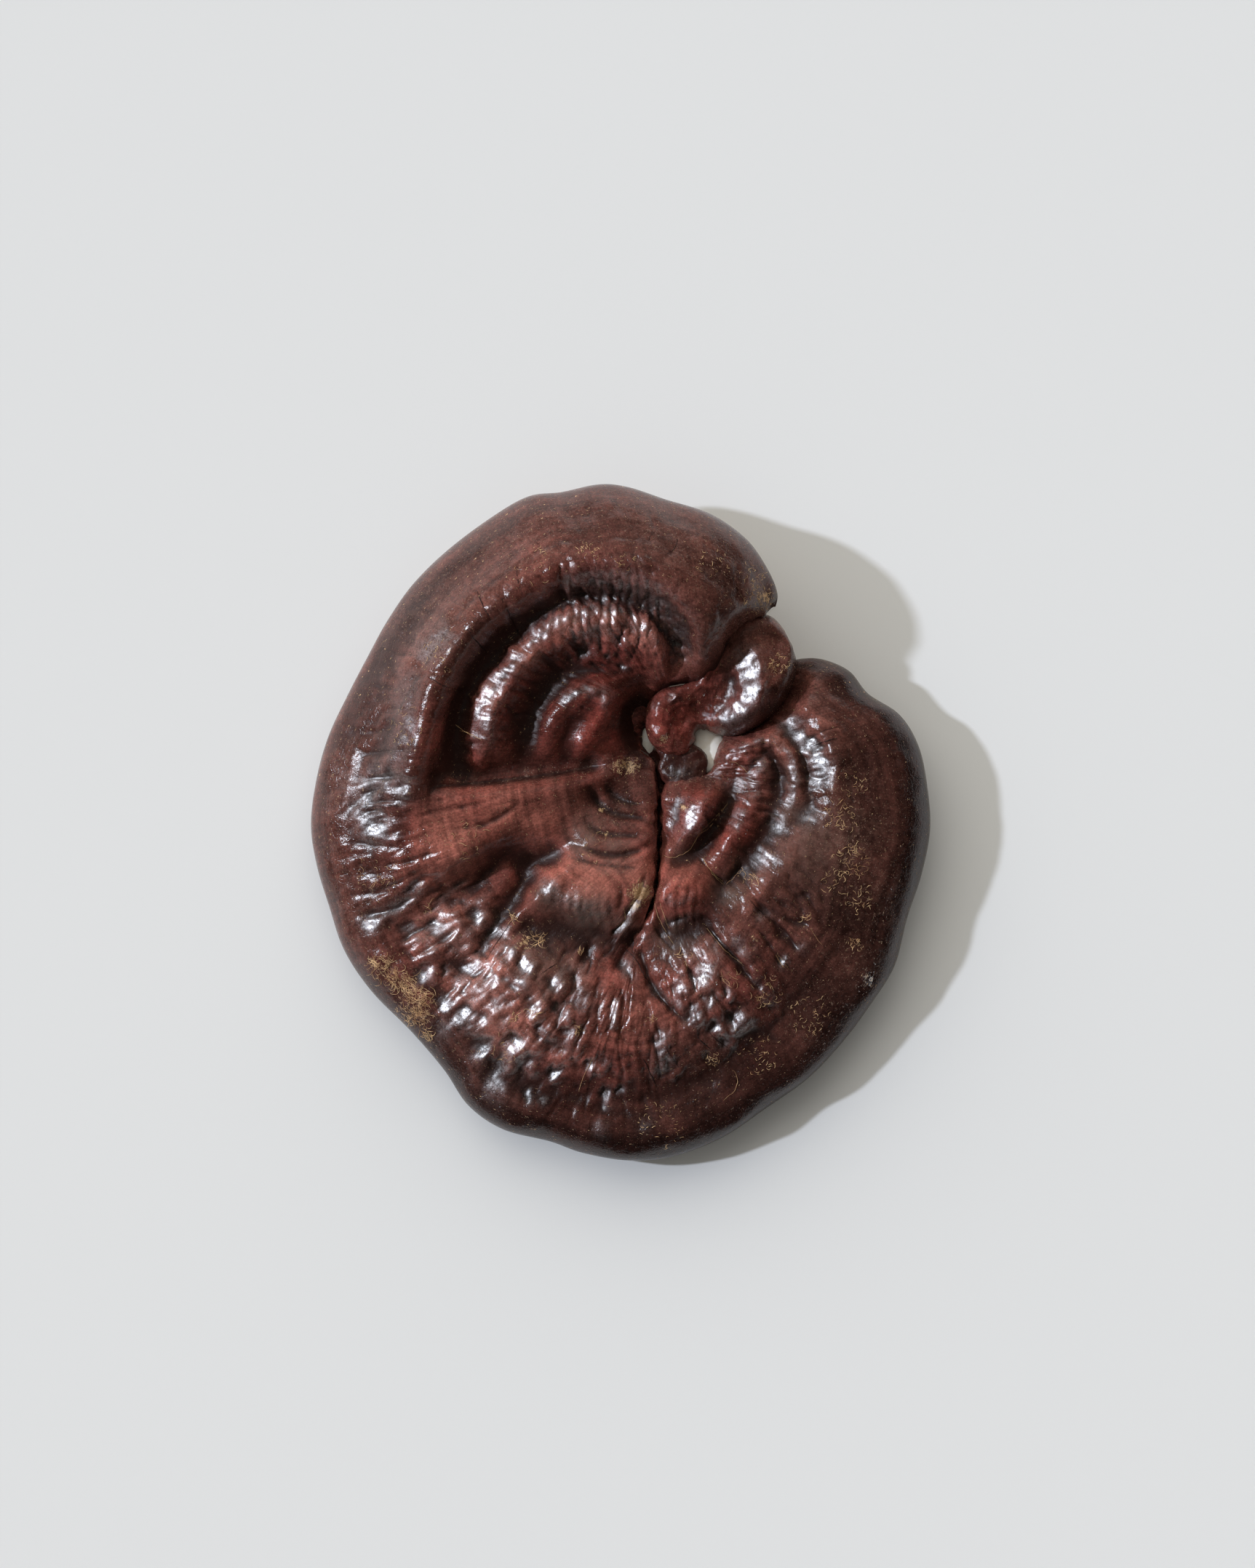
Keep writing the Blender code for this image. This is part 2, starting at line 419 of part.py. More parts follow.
def make_fruiting_body():
    """Join cap, small lobe, bud, arm and stem into one grown skin."""
    top = Surface((UPPER_LOBE, LEFT_FAN, FOOT_SIDE, RIGHT_LOBE), TOP_SOFTNESS)
    under = Surface((UNDERSIDE,), UNDER_SOFTNESS)
    body = bmesh.new()
    shaped_sphere(body, CAP_SECTION_POINTS, CAP_ROWS, place_cap, top, under)
    for spine in (SMALL_LOBE, BUD, ARM):
        shaped_sphere(body, LOBE_SEGMENTS, LOBE_ROWS, place_lobe, spine)
    for rings in (STEM_RINGS, NECK_RINGS, BUD_FOOT_RINGS):
        shaped_sphere(body, STEM_SEGMENTS, LOBE_ROWS, place_stem, rings)
    mesh = bpy.data.meshes.new("fruiting_body")
    body.to_mesh(mesh)
    body.free()
    mesh.materials.append(lacquer())
    grown = bpy.data.objects.new("fruiting_body", mesh)
    bpy.context.scene.collection.objects.link(grown)
    skin = grown.modifiers.new("one_skin", "REMESH")
    skin.mode = "VOXEL"
    skin.voxel_size = VOXEL * MM
    skin.use_smooth_shade = True
    fewer = grown.modifiers.new("fewer_faces", "DECIMATE")
    fewer.decimate_type = "COLLAPSE"
    fewer.ratio = FACE_SHARE
    fewer.use_collapse_triangulate = True
    cut = grown.modifiers.new("flat_foot", "BOOLEAN")
    cut.operation = "DIFFERENCE"
    cut.solver = "EXACT"
    cut.object = make_cutter()
    return grown


def main():
    clear_scene()
    make_fruiting_body()


main()
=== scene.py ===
"""Looks of a dried reishi mushroom: its lacquered cap with folds, wrinkles and cracks,
the kidney lobe in its notch, the pore surface below and the stub of its stem.

Shapes are worked out in millimetres, X to the right, Y to the top of the plan view and
Z up from the table, and MM turns them into metres when a mesh is written.
"""
import math
import random
from types import SimpleNamespace

import bpy
import numpy as np
from bpy.props import FloatProperty, FloatVectorProperty, IntProperty, PointerProperty
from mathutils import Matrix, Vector, noise
from mathutils.bvhtree import BVHTree


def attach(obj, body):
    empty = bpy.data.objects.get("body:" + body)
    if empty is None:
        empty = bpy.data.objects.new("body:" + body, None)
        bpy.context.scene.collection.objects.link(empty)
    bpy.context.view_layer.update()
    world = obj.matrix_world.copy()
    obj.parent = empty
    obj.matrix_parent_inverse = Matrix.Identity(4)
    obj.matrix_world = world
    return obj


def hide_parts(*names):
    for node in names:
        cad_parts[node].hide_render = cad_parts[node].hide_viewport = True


bl_info = {
    "name": "Dried reishi mushroom",
    "version": (1, 0, 0),
    "blender": (4, 5, 0),
    "location": "3D View > Sidebar > Reishi",
    "description": "Builds the finished surface of a dried reishi mushroom on its solid",
    "category": "Object",
}

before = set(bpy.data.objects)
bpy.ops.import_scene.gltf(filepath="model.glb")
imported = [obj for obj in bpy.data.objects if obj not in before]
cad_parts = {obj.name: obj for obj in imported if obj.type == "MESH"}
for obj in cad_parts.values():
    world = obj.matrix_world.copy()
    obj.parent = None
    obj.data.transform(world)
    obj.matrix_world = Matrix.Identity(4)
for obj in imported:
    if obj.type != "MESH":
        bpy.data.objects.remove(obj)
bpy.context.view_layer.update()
BODY = "root"
NODE = "fruiting_body"
MM = 0.001

# The cap's outline, from the upper tip round the top, left, foot and right to the
# second tip, and, point for point, the inner edge that the cap grew from
CAP_MARGIN = (
    (37.6, 52.6), (38.0, 56.0), (35.5, 62.0), (30.5, 69.0), (22.0, 75.0), (11.0, 78.6),
    (2.0, 81.6), (-5.0, 82.3), (-14.0, 80.5), (-22.0, 79.5), (-30.0, 75.2), (-41.0, 67.2),
    (-50.0, 58.6), (-56.5, 49.5), (-61.5, 40.5), (-66.0, 32.0), (-71.0, 21.5), (-74.0, 11.0),
    (-75.4, 0.0), (-74.0, -10.0), (-71.0, -20.0), (-67.2, -31.0), (-60.5, -41.0), (-51.0, -50.6),
    (-43.0, -60.0), (-37.0, -68.8), (-28.5, -74.6), (-17.0, -77.6), (-9.0, -80.4), (2.0, -82.2),
    (13.0, -81.2), (25.0, -76.6), (36.0, -69.2), (46.0, -62.0), (54.5, -53.0), (61.5, -43.5),
    (67.0, -34.5), (70.0, -23.0), (73.6, -12.0), (75.6, -1.0), (74.8, 10.0), (72.6, 19.5),
    (68.0, 26.8), (60.5, 31.8), (56.0, 37.2), (50.0, 40.0), (44.8, 40.4), (41.6, 39.6),
)
CAP_INNER = (
    (37.6, 52.6), (34.5, 50.3), (30.0, 48.0), (26.3, 44.0), (24.0, 38.5), (19.5, 34.8),
    (15.0, 33.9), (12.0, 33.4), (10.4, 32.2), (9.4, 30.8), (8.7, 29.2), (8.2, 27.6),
    (7.6, 26.0), (6.4, 24.4), (5.3, 23.1), (4.9, 21.6), (5.0, 20.0), (5.8, 18.4),
    (7.2, 17.0), (8.6, 15.0), (9.3, 12.0), (9.4, 8.5), (9.3, 4.0), (9.2, -1.0),
    (9.2, -6.0), (9.0, -10.5), (8.6, -14.5), (7.6, -18.5), (5.9, -22.0), (3.6, -26.0),
    (6.5, -22.0), (8.4, -18.0), (9.2, -13.5), (9.6, -9.0), (9.7, -4.5), (9.8, 0.0),
    (9.9, 4.5), (10.3, 8.8), (12.8, 11.4), (16.6, 12.2), (20.4, 12.4), (22.4, 14.2),
    (22.8, 18.2), (25.6, 22.6), (30.5, 27.5), (35.5, 32.5), (39.0, 36.5), (41.6, 39.6),
)
CAP = {
    "margin": CAP_MARGIN,
    "inner": CAP_INNER,
    "rim height": (
        (0, 21), (3, 20.5), (6, 19), (9, 17), (12, 14), (15, 10.5), (18, 7.6), (21, 7.2), (24, 6.6),
        (27, 6), (29, 5.8), (32, 6.6), (35, 8), (38, 9), (41, 9.6), (44, 10.2), (47, 11),
    ),
    "inner height": (
        (0, 21), (3, 19.5), (5, 18), (7, 16), (9, 13), (12, 12), (17, 12), (20, 10.5), (29, 12),
        (37, 10.5), (41, 11), (44, 10.5), (47, 11),
    ),
    "rim radius": (
        (0, 9), (4, 12), (8, 13), (14, 12), (20, 11), (26, 10), (30, 10), (36, 11), (42, 11), (47, 8),
    ),
    "inner radius": (
        (0, 9), (3, 8), (5, 6), (8, 4), (10, 2.4), (17, 2), (20, 1.3), (29, 1.6), (37, 1.3), (40, 1.8),
        (43, 4), (47, 8),
    ),
    "under rim": 9.0,
}

# The top of the cap: ridges, valleys and folds as lines of (x, y, height)
UPPER_LOBE = {
    "outer crest": ((20, 37.5, 26), (19.5, 41, 30), (18, 46.5, 33.5), (14.5, 52, 35.5), (9, 56.5, 36.5),
                    (2, 59.8, 37), (-6, 60.8, 37), (-14, 59, 36.5), (-22, 54.5, 35.5), (-29, 49.5, 34.5),
                    (-36, 42.5, 34), (-41, 34, 33), (-44, 25, 32), (-46, 16, 30.5), (-49, 9, 28.5)),
    "outer back": ((33, 54, 28), (31, 58, 29.5), (27, 63, 31), (20, 67.5, 32.5), (10, 70, 33.5),
                   (0, 71.5, 33.5), (-10, 70.5, 33), (-20, 68, 32), (-30, 63, 30.5), (-40, 55, 28.5),
                   (-47, 47, 27), (-52, 38, 25.5), (-56, 28, 24), (-59, 18, 22.5), (-61, 8, 21),
                   (-62, -2, 20), (-61, -12, 18.5), (-58.5, -22, 17.5), (-54, -31, 17), (-47, -40, 16.5),
                   (-39, -50, 16), (-32, -57, 15.3)),
    "rolled end": ((21, 60, 35), (26, 56, 33.5), (28.5, 52, 31.5), (26.5, 48, 30.5), (24, 44, 29.5),
                   (22.5, 40, 27.5)),
    "valley": ((13.5, 36, 22.6), (14.5, 41, 25), (13.2, 46, 26.8), (9.5, 51, 28.6), (4, 54.5, 29.8),
               (-4, 55.8, 30.2), (-13, 54.2, 30), (-21, 50, 28.8), (-28, 44.5, 27), (-34, 37.5, 26),
               (-38.5, 29, 25), (-40.5, 21, 24), (-41.3, 15.5, 23.2)),
    "second crest": ((9.5, 37, 25), (9.3, 41.5, 28), (7, 46.5, 30), (2.5, 50, 31), (-4, 51.3, 31.5),
                     (-11, 50, 31.5), (-17, 47.3, 31), (-21.5, 43, 30.5), (-27, 37.5, 29.5),
                     (-31.5, 31, 28.8), (-34, 25, 28), (-34.8, 19.5, 26), (-35, 16, 23.5)),
    "inner slope": ((5, 41, 26.5), (0, 43, 27.8), (-6, 44, 28.4), (-12, 43, 28.4), (-18, 39, 27.6),
                    (-23, 33, 26.6), (-27, 26, 25.8), (-28, 18, 24.4)),
    "bowl": ((6, 36, 21.6), (0, 37, 23.4), (-7, 37.5, 24), (-13, 35, 24), (-17.5, 30.5, 23.4),
             (-20.5, 25, 22.8), (-21.5, 19, 21.6), (-21.2, 15.6, 19.8)),
    "knob": ((-1.2, 30.5, 25.5), (-3.5, 32.3, 27.2), (-8, 32.4, 28), (-12, 30, 27.8), (-15.5, 26, 26.5),
             (-17.3, 21.5, 25), (-17, 18, 22.5)),
    "knob top": ((-3, 27, 25.5), (-8, 28, 26), (-12, 25, 24.5), (-13.5, 20, 22.5)),
    "curl": ((-5.5, 24, 25), (-8, 22, 24.5), (-9, 18, 23)),
    "gap outside the curl": ((-10.8, 22.5, 23.4), (-11.2, 18, 21.6)),
    "gap inside the curl": ((-5.5, 19.5, 22.6), (-6.5, 16.8, 20)),
    "pit": ((4, 30.4, 15.5), (1.6, 27, 14.6), (1.8, 23, 14.2), (2.6, 19.6, 14)),
}
LEFT_FAN = {
    "fold foot": ((-45, 11, 24.8), (-38, 10.8, 22), (-30, 11.4, 20.2), (-22, 12.4, 19), (-14, 13.7, 18),
                  (-7, 15.2, 17.2)),
    "fold lip": ((-46, 7, 26), (-38, 7.3, 25.2), (-30, 8, 24.4), (-22, 9.2, 23.2), (-14, 10.3, 21.8),
                 (-8, 11.2, 20.4), (-1, 13.6, 18.8)),
    "fan": ((-53, 0, 25), (-45, 0, 26), (-36, 1.5, 25.6), (-28, 3, 24.6), (-20, 4, 23.4), (-13, 4.5, 22.2)),
    "fan edge": ((-55, -18, 20), (-49, -14, 22.6), (-42, -11.5, 24.2), (-36, -8.5, 24.8),
                 (-31.5, -4.5, 24.4), (-26, -1, 23.5), (-18, 0.2, 22.5)),
    "sunken sector": ((-53, -26, 17), (-46, -20.5, 17.8), (-39, -16, 18), (-32.5, -11, 18),
                      (-26, -7, 18.3), (-19, -4.5, 19), (-13, -2.5, 20)),
    "sector swelling": ((-47, -31, 18.5), (-41, -26, 19.7), (-34, -20, 19.5), (-27, -13.5, 18.9)),
    "furrow": ((-44, -42, 15.5), (-39, -36, 16.8), (-34, -30.5, 17.3), (-29, -24, 17.5), (-25, -18, 17.3),
               (-20.5, -12, 17.5), (-15, -8, 18.5), (-12, -4.6, 20.2)),
    "furrow edge": ((-38, -42, 18), (-33, -35, 19.8), (-28, -28, 19.8), (-24.5, -21.5, 19.6),
                    (-19.5, -15, 22), (-14, -10.5, 22.8), (-10, -7.5, 22.3)),
}
FOOT_SIDE = {
    "hilum": ((-1, 9, 17.5), (3, 7.5, 17.8)),
    "first terrace": ((-6.5, 7, 18.8), (-4, 3, 19.2), (0, 1.4, 19.4), (5, 1.6, 19.4)),
    "second terrace": ((-9.5, 3, 20.6), (-6, -2, 21), (0, -4, 21.4), (6.5, -3.8, 21.2)),
    "third terrace": ((-8.5, -6.3, 22.6), (-4, -8.5, 23), (1, -9, 23.2), (6, -8.5, 22.8)),
    "plateau": ((-14, -11.5, 23.6), (-7, -14, 24.4), (0, -15, 24.6), (5.5, -14.5, 23.6)),
    "plateau edge": ((-18.5, -15, 22.5), (-13, -18, 23), (-7, -19.6, 23.2), (-2, -20.5, 22.6)),
    "trough": ((-23, -24.5, 19), (-17, -24.6, 19), (-10, -26.4, 18.8), (-4, -27.6, 18.4), (1.5, -30, 17.8),
               (7, -29, 18.4), (12.5, -26.8, 19), (19, -24, 19.4)),
    "right plateau": ((12, -11, 21.5), (16.5, -11.8, 22.4), (20.5, -12, 21.4)),
    "right plateau edge": ((12, -20.8, 22), (16, -19.4, 22.6), (20.5, -17, 21.8)),
    "second swelling": ((-26, -31, 21.8), (-21, -34, 22), (-13, -37, 21), (-6, -39, 20.4), (1, -40, 20.2),
                        (8, -40, 19.6), (16, -37, 22), (22, -35, 22)),
    "outer swelling": ((-34, -43, 19.8), (-28, -50, 19.6), (-20, -54, 19), (-10, -55.5, 18.6),
                       (0, -56, 18.4), (9, -55.5, 18.6), (18, -52, 19), (27, -47, 19.6), (35, -41, 19.8)),
    "rim furrow": ((-28, -61, 14.4), (-20, -64.5, 13.4), (-10, -67.3, 13), (2, -68, 13), (12, -66, 13.3),
                   (20, -62.5, 13.8), (28, -57.5, 14.6), (36, -51, 15.4), (44, -42, 16.8)),
    "rim roll": ((-26, -67.5, 14.2), (-17, -70.3, 13.8), (-8, -72.3, 13.6), (3, -73.6, 13.4),
                 (14, -72, 13.6), (25, -67.2, 14), (35, -60.5, 14.5), (43, -53, 15), (50, -45.5, 15.6),
                 (55.5, -37, 16.5), (59, -28, 17.4), (62, -18, 18), (64, -8, 18.8), (65, 2, 19.3),
                 (64.5, 12, 19.6), (61, 20.5, 19.8), (54, 28.5, 20)),
}
RIGHT_LOBE = {
    "right back": ((47, -32, 19.5), (51, -20, 20.5), (54, -8, 21.5), (55, 4, 22.2), (55, 14, 22.5)),
    "teardrop": ((22.4, 6.4, 21.8), (20.8, 3, 23), (18.4, -1, 22.6), (15, -5, 20.6)),
    "teardrop slope": ((15.6, 6.6, 20.4), (15.6, 2.5, 20.8), (14.2, -2, 20.3)),
    "teardrop foot": ((11.4, 6.5, 18.6), (11.2, 1.5, 18.4), (11.2, -4, 18.2)),
    "teardrop side": ((26.6, 8.6, 17), (25.4, 4.6, 17), (23.4, 1.2, 17.2), (20.8, -2.2, 17.4),
                      (18.2, -5.2, 17.8), (14.5, -8.8, 18.6)),
    "teardrop top": ((13, 8.6, 18), (17, 9.8, 17.8), (21.5, 9.8, 17.2)),
    "inner fold": ((31, 5, 20.8), (28, 0.5, 21.3), (25, -4, 21.5), (23.5, -8.5, 20.8)),
    "inner fold foot": ((37.5, 2, 18.6), (34, -2.5, 18.8), (31, -7, 19), (28.5, -11.5, 18.6),
                        (24, -14, 19.5)),
    "outer fold": ((45, -2, 21.3), (40, -6, 21.8), (36, -11, 22), (33, -16, 22.3), (28, -20, 21.5)),
    "lower folds": ((43, -17, 21.2), (38, -23, 21), (32, -29, 21.6)),
    "foot fold": ((27, -26, 21.8), (22.5, -30, 22)),
    "ring": ((26.5, 15, 18.2), (28.5, 18, 19.3), (32, 20.2, 20.4), (36, 20.2, 20.8), (39.5, 17.6, 20.9),
             (41.7, 13.5, 20.8), (42.3, 9, 20.3), (41.5, 5, 19.6)),
    "ring groove": ((35.5, 18, 18.8), (38.5, 15, 18.3), (40, 11, 18), (39.8, 7, 17.8)),
    "ring bowl": ((29, 12, 17.8), (33, 15.5, 19.4), (35, 11, 19), (34, 7, 19)),
    "ring trough": ((38, 23.6, 18.4), (42, 20, 19), (44.5, 15, 19.2), (45.5, 9, 19.3), (45, 4, 19.3)),
    "right crest": ((44.5, 28.5, 21.5), (47.5, 24.5, 23), (50, 19, 23.6), (51, 13, 23.4), (50, 7, 22.6)),
    "lobe end": ((48, 34.5, 18.5), (53, 31.5, 19)),
    "notch foot": ((44.5, 37.5, 15), (43.2, 32.5, 15.6), (39.5, 28, 16), (35.5, 24.6, 15.6), (31, 22.6, 15),
                   (27, 21.6, 14.6)),
}

# The pore surface below: it rests on the left and foot rims
UNDERSIDE = {
    "rim": ((28, 60, 14.5), (15, 69, 13), (0, 72, 12), (-20, 69, 10), (-38, 57, 7.5), (-52, 40, 4.4),
            (-61, 22, 1.8), (-66, 6, 0.3), (-65.5, -8, -0.4), (-61, -24, 0.5), (-52, -38, 0.9),
            (-40, -52, 0.9), (-27, -65, 0.3), (-10, -71.5, -0.4), (5, -72.5, 0.2), (20, -68, 1.0),
            (36, -59, 1.6), (50, -45, 2.3), (60, -28, 3.0), (65, -8, 3.5), (65, 12, 3.8), (57, 26, 4.2),
            (46, 32, 5)),
    "middle": ((12, 56, 15.5), (-10, 56, 14.5), (-30, 44, 12), (-42, 20, 8), (-46, 0, 5.5), (-36, -26, 4.5),
               (-12, -46, 4), (14, -46, 4.2), (36, -30, 5), (45, 0, 6), (42, 20, 7)),
    "hilum": ((26, 45, 15.5), (14, 40, 14.5), (4, 37, 13.5), (-14, 28, 12), (-13, 6, 9), (-5, -18, 7.2),
              (5, -30, 6.5), (15, -18, 7.2), (23, 0, 7.8), (26, 14, 8.2)),
}

# The kidney lobe with the bud and the arm that carry it: from the foot of the bud up
# its left side, along the arm and round the lobe, and, point for point, its right edge
KIDNEY = {
    "margin": ((11.5, 16.8), (7.8, 19.2), (6.2, 23.2), (6.2, 27), (7.4, 30.2), (10.6, 32.9), (15.5, 34),
               (19.6, 36.4), (21.4, 40.2), (22.6, 44), (25.2, 47.6), (28.8, 50.4), (32.8, 51.2),
               (36.6, 50.4), (39.4, 47.6), (41.6, 43.4)),
    "inner": ((11.5, 16.8), (16.5, 17.6), (18.3, 20.3), (18.8, 22.3), (19.3, 23.2), (19.9, 23.5),
              (20.4, 23.4), (21, 23.4), (22.2, 22.9), (24.8, 21.8), (28.6, 21.5), (33.6, 23.8),
              (38, 27.6), (41.4, 32.6),
              (42.8, 38.2), (41.6, 43.4)),
    "rim height": ((0, 15), (4, 17), (8, 17), (12, 17), (15, 16)),
    "inner height": ((0, 15), (4, 14), (8, 15), (12, 15.5), (15, 16)),
    "rim radius": ((0, 5), (4, 4), (7, 3), (10, 4), (15, 5)),
    "inner radius": ((0, 5), (4, 3), (7, 2.5), (10, 5), (15, 6)),
    "under rim": 4.0,
}
KIDNEY_TOP = {
    "bud": ((10.8, 19.5, 19.5), (10.6, 23, 21.3), (10.6, 27, 22), (12, 30.3, 22)),
    "bud side": ((15.6, 19.5, 18.8), (16.3, 23, 19)),
    "arm ridge": ((16, 31.8, 21), (20.5, 33, 20.3), (24, 36, 20.6), (26.3, 40.3, 22.2), (28.8, 43.6, 24)),
    "hollow": ((17, 27.5, 18.3), (21, 28.5, 18), (25, 31.2, 19.2), (26.6, 35, 20)),
    "crest": ((25, 24.2, 20.4), (29.4, 26.2, 22.8), (33.2, 30, 24.6), (34.4, 34.5, 25.2), (33, 40, 25.2)),
    "lobe back": ((36.4, 29.5, 22.6), (38.6, 33.5, 22.8), (38.8, 38.5, 22.8), (36, 44, 22.8)),
}
KIDNEY_UNDER = {
    "below": ((11.5, 19, 8), (12, 27, 8.5), (20, 29, 9), (29, 26, 9.4), (35, 33, 9.8), (36, 42, 10)),
}

# Stem: rings of (z, centre x, centre y, radius along X, radius along Y)
STEM_X = 9.5
STEM_Y = 9.5
STEM_RADIUS = 9.2
STEM_RINGS = (
    (0.0, STEM_X, STEM_Y, STEM_RADIUS, STEM_RADIUS), (1.5, STEM_X, STEM_Y, STEM_RADIUS, STEM_RADIUS),
    (4.2, 9.0, 9.0, 8.8, 11), (6.4, 8.0, 6.5, 10, 21), (8.2, 7.5, 4.5, 11, 30), (10.5, 7.5, 4.5, 9.5, 28.5),
)
NECK_RINGS = (
    (4.0, 13.0, 12.6, 5.2, 6.0), (10.0, 15.0, 13.8, 5.6, 5.8), (13.0, 15.4, 14.0, 5.8, 5.6),
    (15.0, 15.4, 14.2, 5.8, 5.6), (16.0, 15.2, 14.4, 5.2, 5.2), (16.5, 15.0, 14.6, 4.0, 4.2),
    (16.7, 14.8, 14.8, 2.0, 2.2),
)
BUD_FOOT_RINGS = (
    (4.0, 11.5, 18.0, 4.6, 6.4), (10.0, 12.5, 21.0, 4.6, 7.5), (14.0, 12.3, 23.0, 4.6, 7.0),
)

# Torn flesh: (name, x, y, z, half width, half depth, half height); the near-white lump in the hole is
# painted light, standing in for lit floor seen through it
TORN = (
    ("flesh_in_the_hole", 21.6, 18.2, 12.4, 4.6, 6.4, 1.8),
    ("flesh_beside_the_bud", 7.0, 20.4, 9.6, 2.0, 5.0, 1.5),
)
FLESH_SEGMENTS = 48
FLESH_RINGS = 32

# Rows of points along a form, points round its section and the share of them on its top
CRUST_TOP_SHARE = 0.91
PORE_GRID = (340, 64, 0.5)
PORE_REACH = 0.98
KIDNEY_GRID = (260, 96, 0.72)
# How densely the crust's rows stand, from the upper tip to the second tip
CRUST_DENSITY = ((0, 0.8), (0.25, 0.85), (0.35, 1.2), (0.75, 1.2), (0.85, 0.9), (1, 0.8))
# Depths below what is round it at which a place counts as a fold: fine folds, wide folds
CRUST_FOLDS = (0.42, 6.0)
KIDNEY_FOLDS = (0.5, 4.0)

STEM_SIDES = 64
STEM_VOXEL = 0.42
STEM_SOFTENING = {"factor": 0.6, "iterations": 4}
# The same red, rim and hollow all over the stem, the hollow share as painted shade over the whole stem, and
# the least dust on it
STEM_TINT = (0.6, 0.3, 0.5)
STEM_DUST = 0.3

# Noise laid over a shape in layers, as (height, size, seed)
WANDERING_ACROSS = ((1.3, 4.2, 61), (0.7, 1.7, 62))
WANDERING_UP = ((1.3, 4.2, 63), (0.7, 1.7, 64))
WRINKLE_BEND = ((0.5, 11.0, 3), (0.22, 4.5, 4))
PLEAT_BEND = ((0.9, 6.0, 18), (0.35, 2.0, 19))
KIDNEY_LUMPS = ((0.7, 5.0, 31), (0.7, 2.7, 32), (0.34, 1.5, 33))
STEM_LUMPS = ((0.5, 4.6, 41), (0.4, 2.1, 42), (0.3, 1.1, 43))
FLESH_LUMPS = ((0.1, 3.4, 51), (0.03, 0.9, 52))

# Loose strands and hairline cracks: radius, height above the crust, and their wandering
FIBRE_RADIUS = 0.045
FIBRE_LIFT = 0.03
HAIRLINE_RADIUS = 0.11
HAIRLINE_LIFT = -0.06
STRAND_STEPS = 7
STRAND_SEED = 7
STRAND_CURL = 0.5
STRAND_WANDERING = 0.35
STRAND_WIDTHS = (0.6, 1.25)
STRAND_ARCH = 0.14
TIP_WIDTH = 0.35
FEWEST_POINTS = 4
HAIR_STEP = 0.7
HAIR_WANDERING = 0.07

# Noises of the materials, as (scale, detail, roughness, distortion)
MOTTLE = (110.0, 4.0, 0.6)
FINE = (520.0, 4.0, 0.65)
GRAIN = (1900.0, 3.0, 0.6)
RIDGE = (460.0, 2.0, 0.5, 0.7)
FIBRE = (1.1, 4.0, 0.6, 0.4)
ZONE = (0.33, 3.0, 0.6)
STRAY_DUST = (2700.0, 1.0, 0.5)
DUST_SPECK = (1500.0, 2.0, 0.7)
TORN_SHRED = (2.2, 5.0, 0.7, 0.4)
TORN_CHIP = (1100.0, 4.0, 0.75)
PORE_ZONE = (0.3, 3.0, 0.6)
PORE_STAIN = (70.0, 4.0, 0.6)
PORE_SCALE = 2300.0

LACQUER_IOR = 1.55
SHEEN_ROUGHNESS = 0.4
SHEEN_IOR = 4.0
CRUST_BUMP = 0.00024
PORE_BUMP = 0.0003

FLOOR_SIZE = 6.0
SENSOR_WIDTH = 36.0

# Creases, folds and cracks cut into the top, as (points, depth, half width)
CREASES = (
    (((8.4, 12), (9.4, 5), (9.6, -3), (9.2, -10), (8.2, -16.5), (6.4, -21.5), (4, -26),
      (2, -30)), 2.6, 1.6),
    (((4.2, -24.5), (2.5, -28.5), (0.5, -32), (-1.5, -36)), 1.6, 1.3),
    (((9.2, -19), (9.6, -23), (11, -27)), 1.6, 1.3),
    (((4.5, -30), (7, -37), (11, -43), (16.5, -48)), 1.8, 1.2),
    (((19.5, -22), (24.5, -29), (29.5, -35), (34, -40)), 1.6, 1.1),
    (((-6.5, -28), (-9.5, -34), (-12, -40), (-16, -47)), 1.2, 1.3),
    (((28.5, -10.5), (33, -18), (37, -23.5), (43, -31)), 1.3, 1.2),
    (((19.5, -8.5), (22.5, -12), (25.6, -15)), 1.5, 0.9),
    (((30, -9.5), (27.6, -11.5), (26, -15)), 1.5, 0.9),
    (((-49, 2), (-42, 3.6), (-34, 5), (-28, 7.4)), 0.5, 0.8),
    (((-42, -1), (-34, -0.4), (-28, 2.4), (-24, 5.8)), 0.7, 0.8),
)
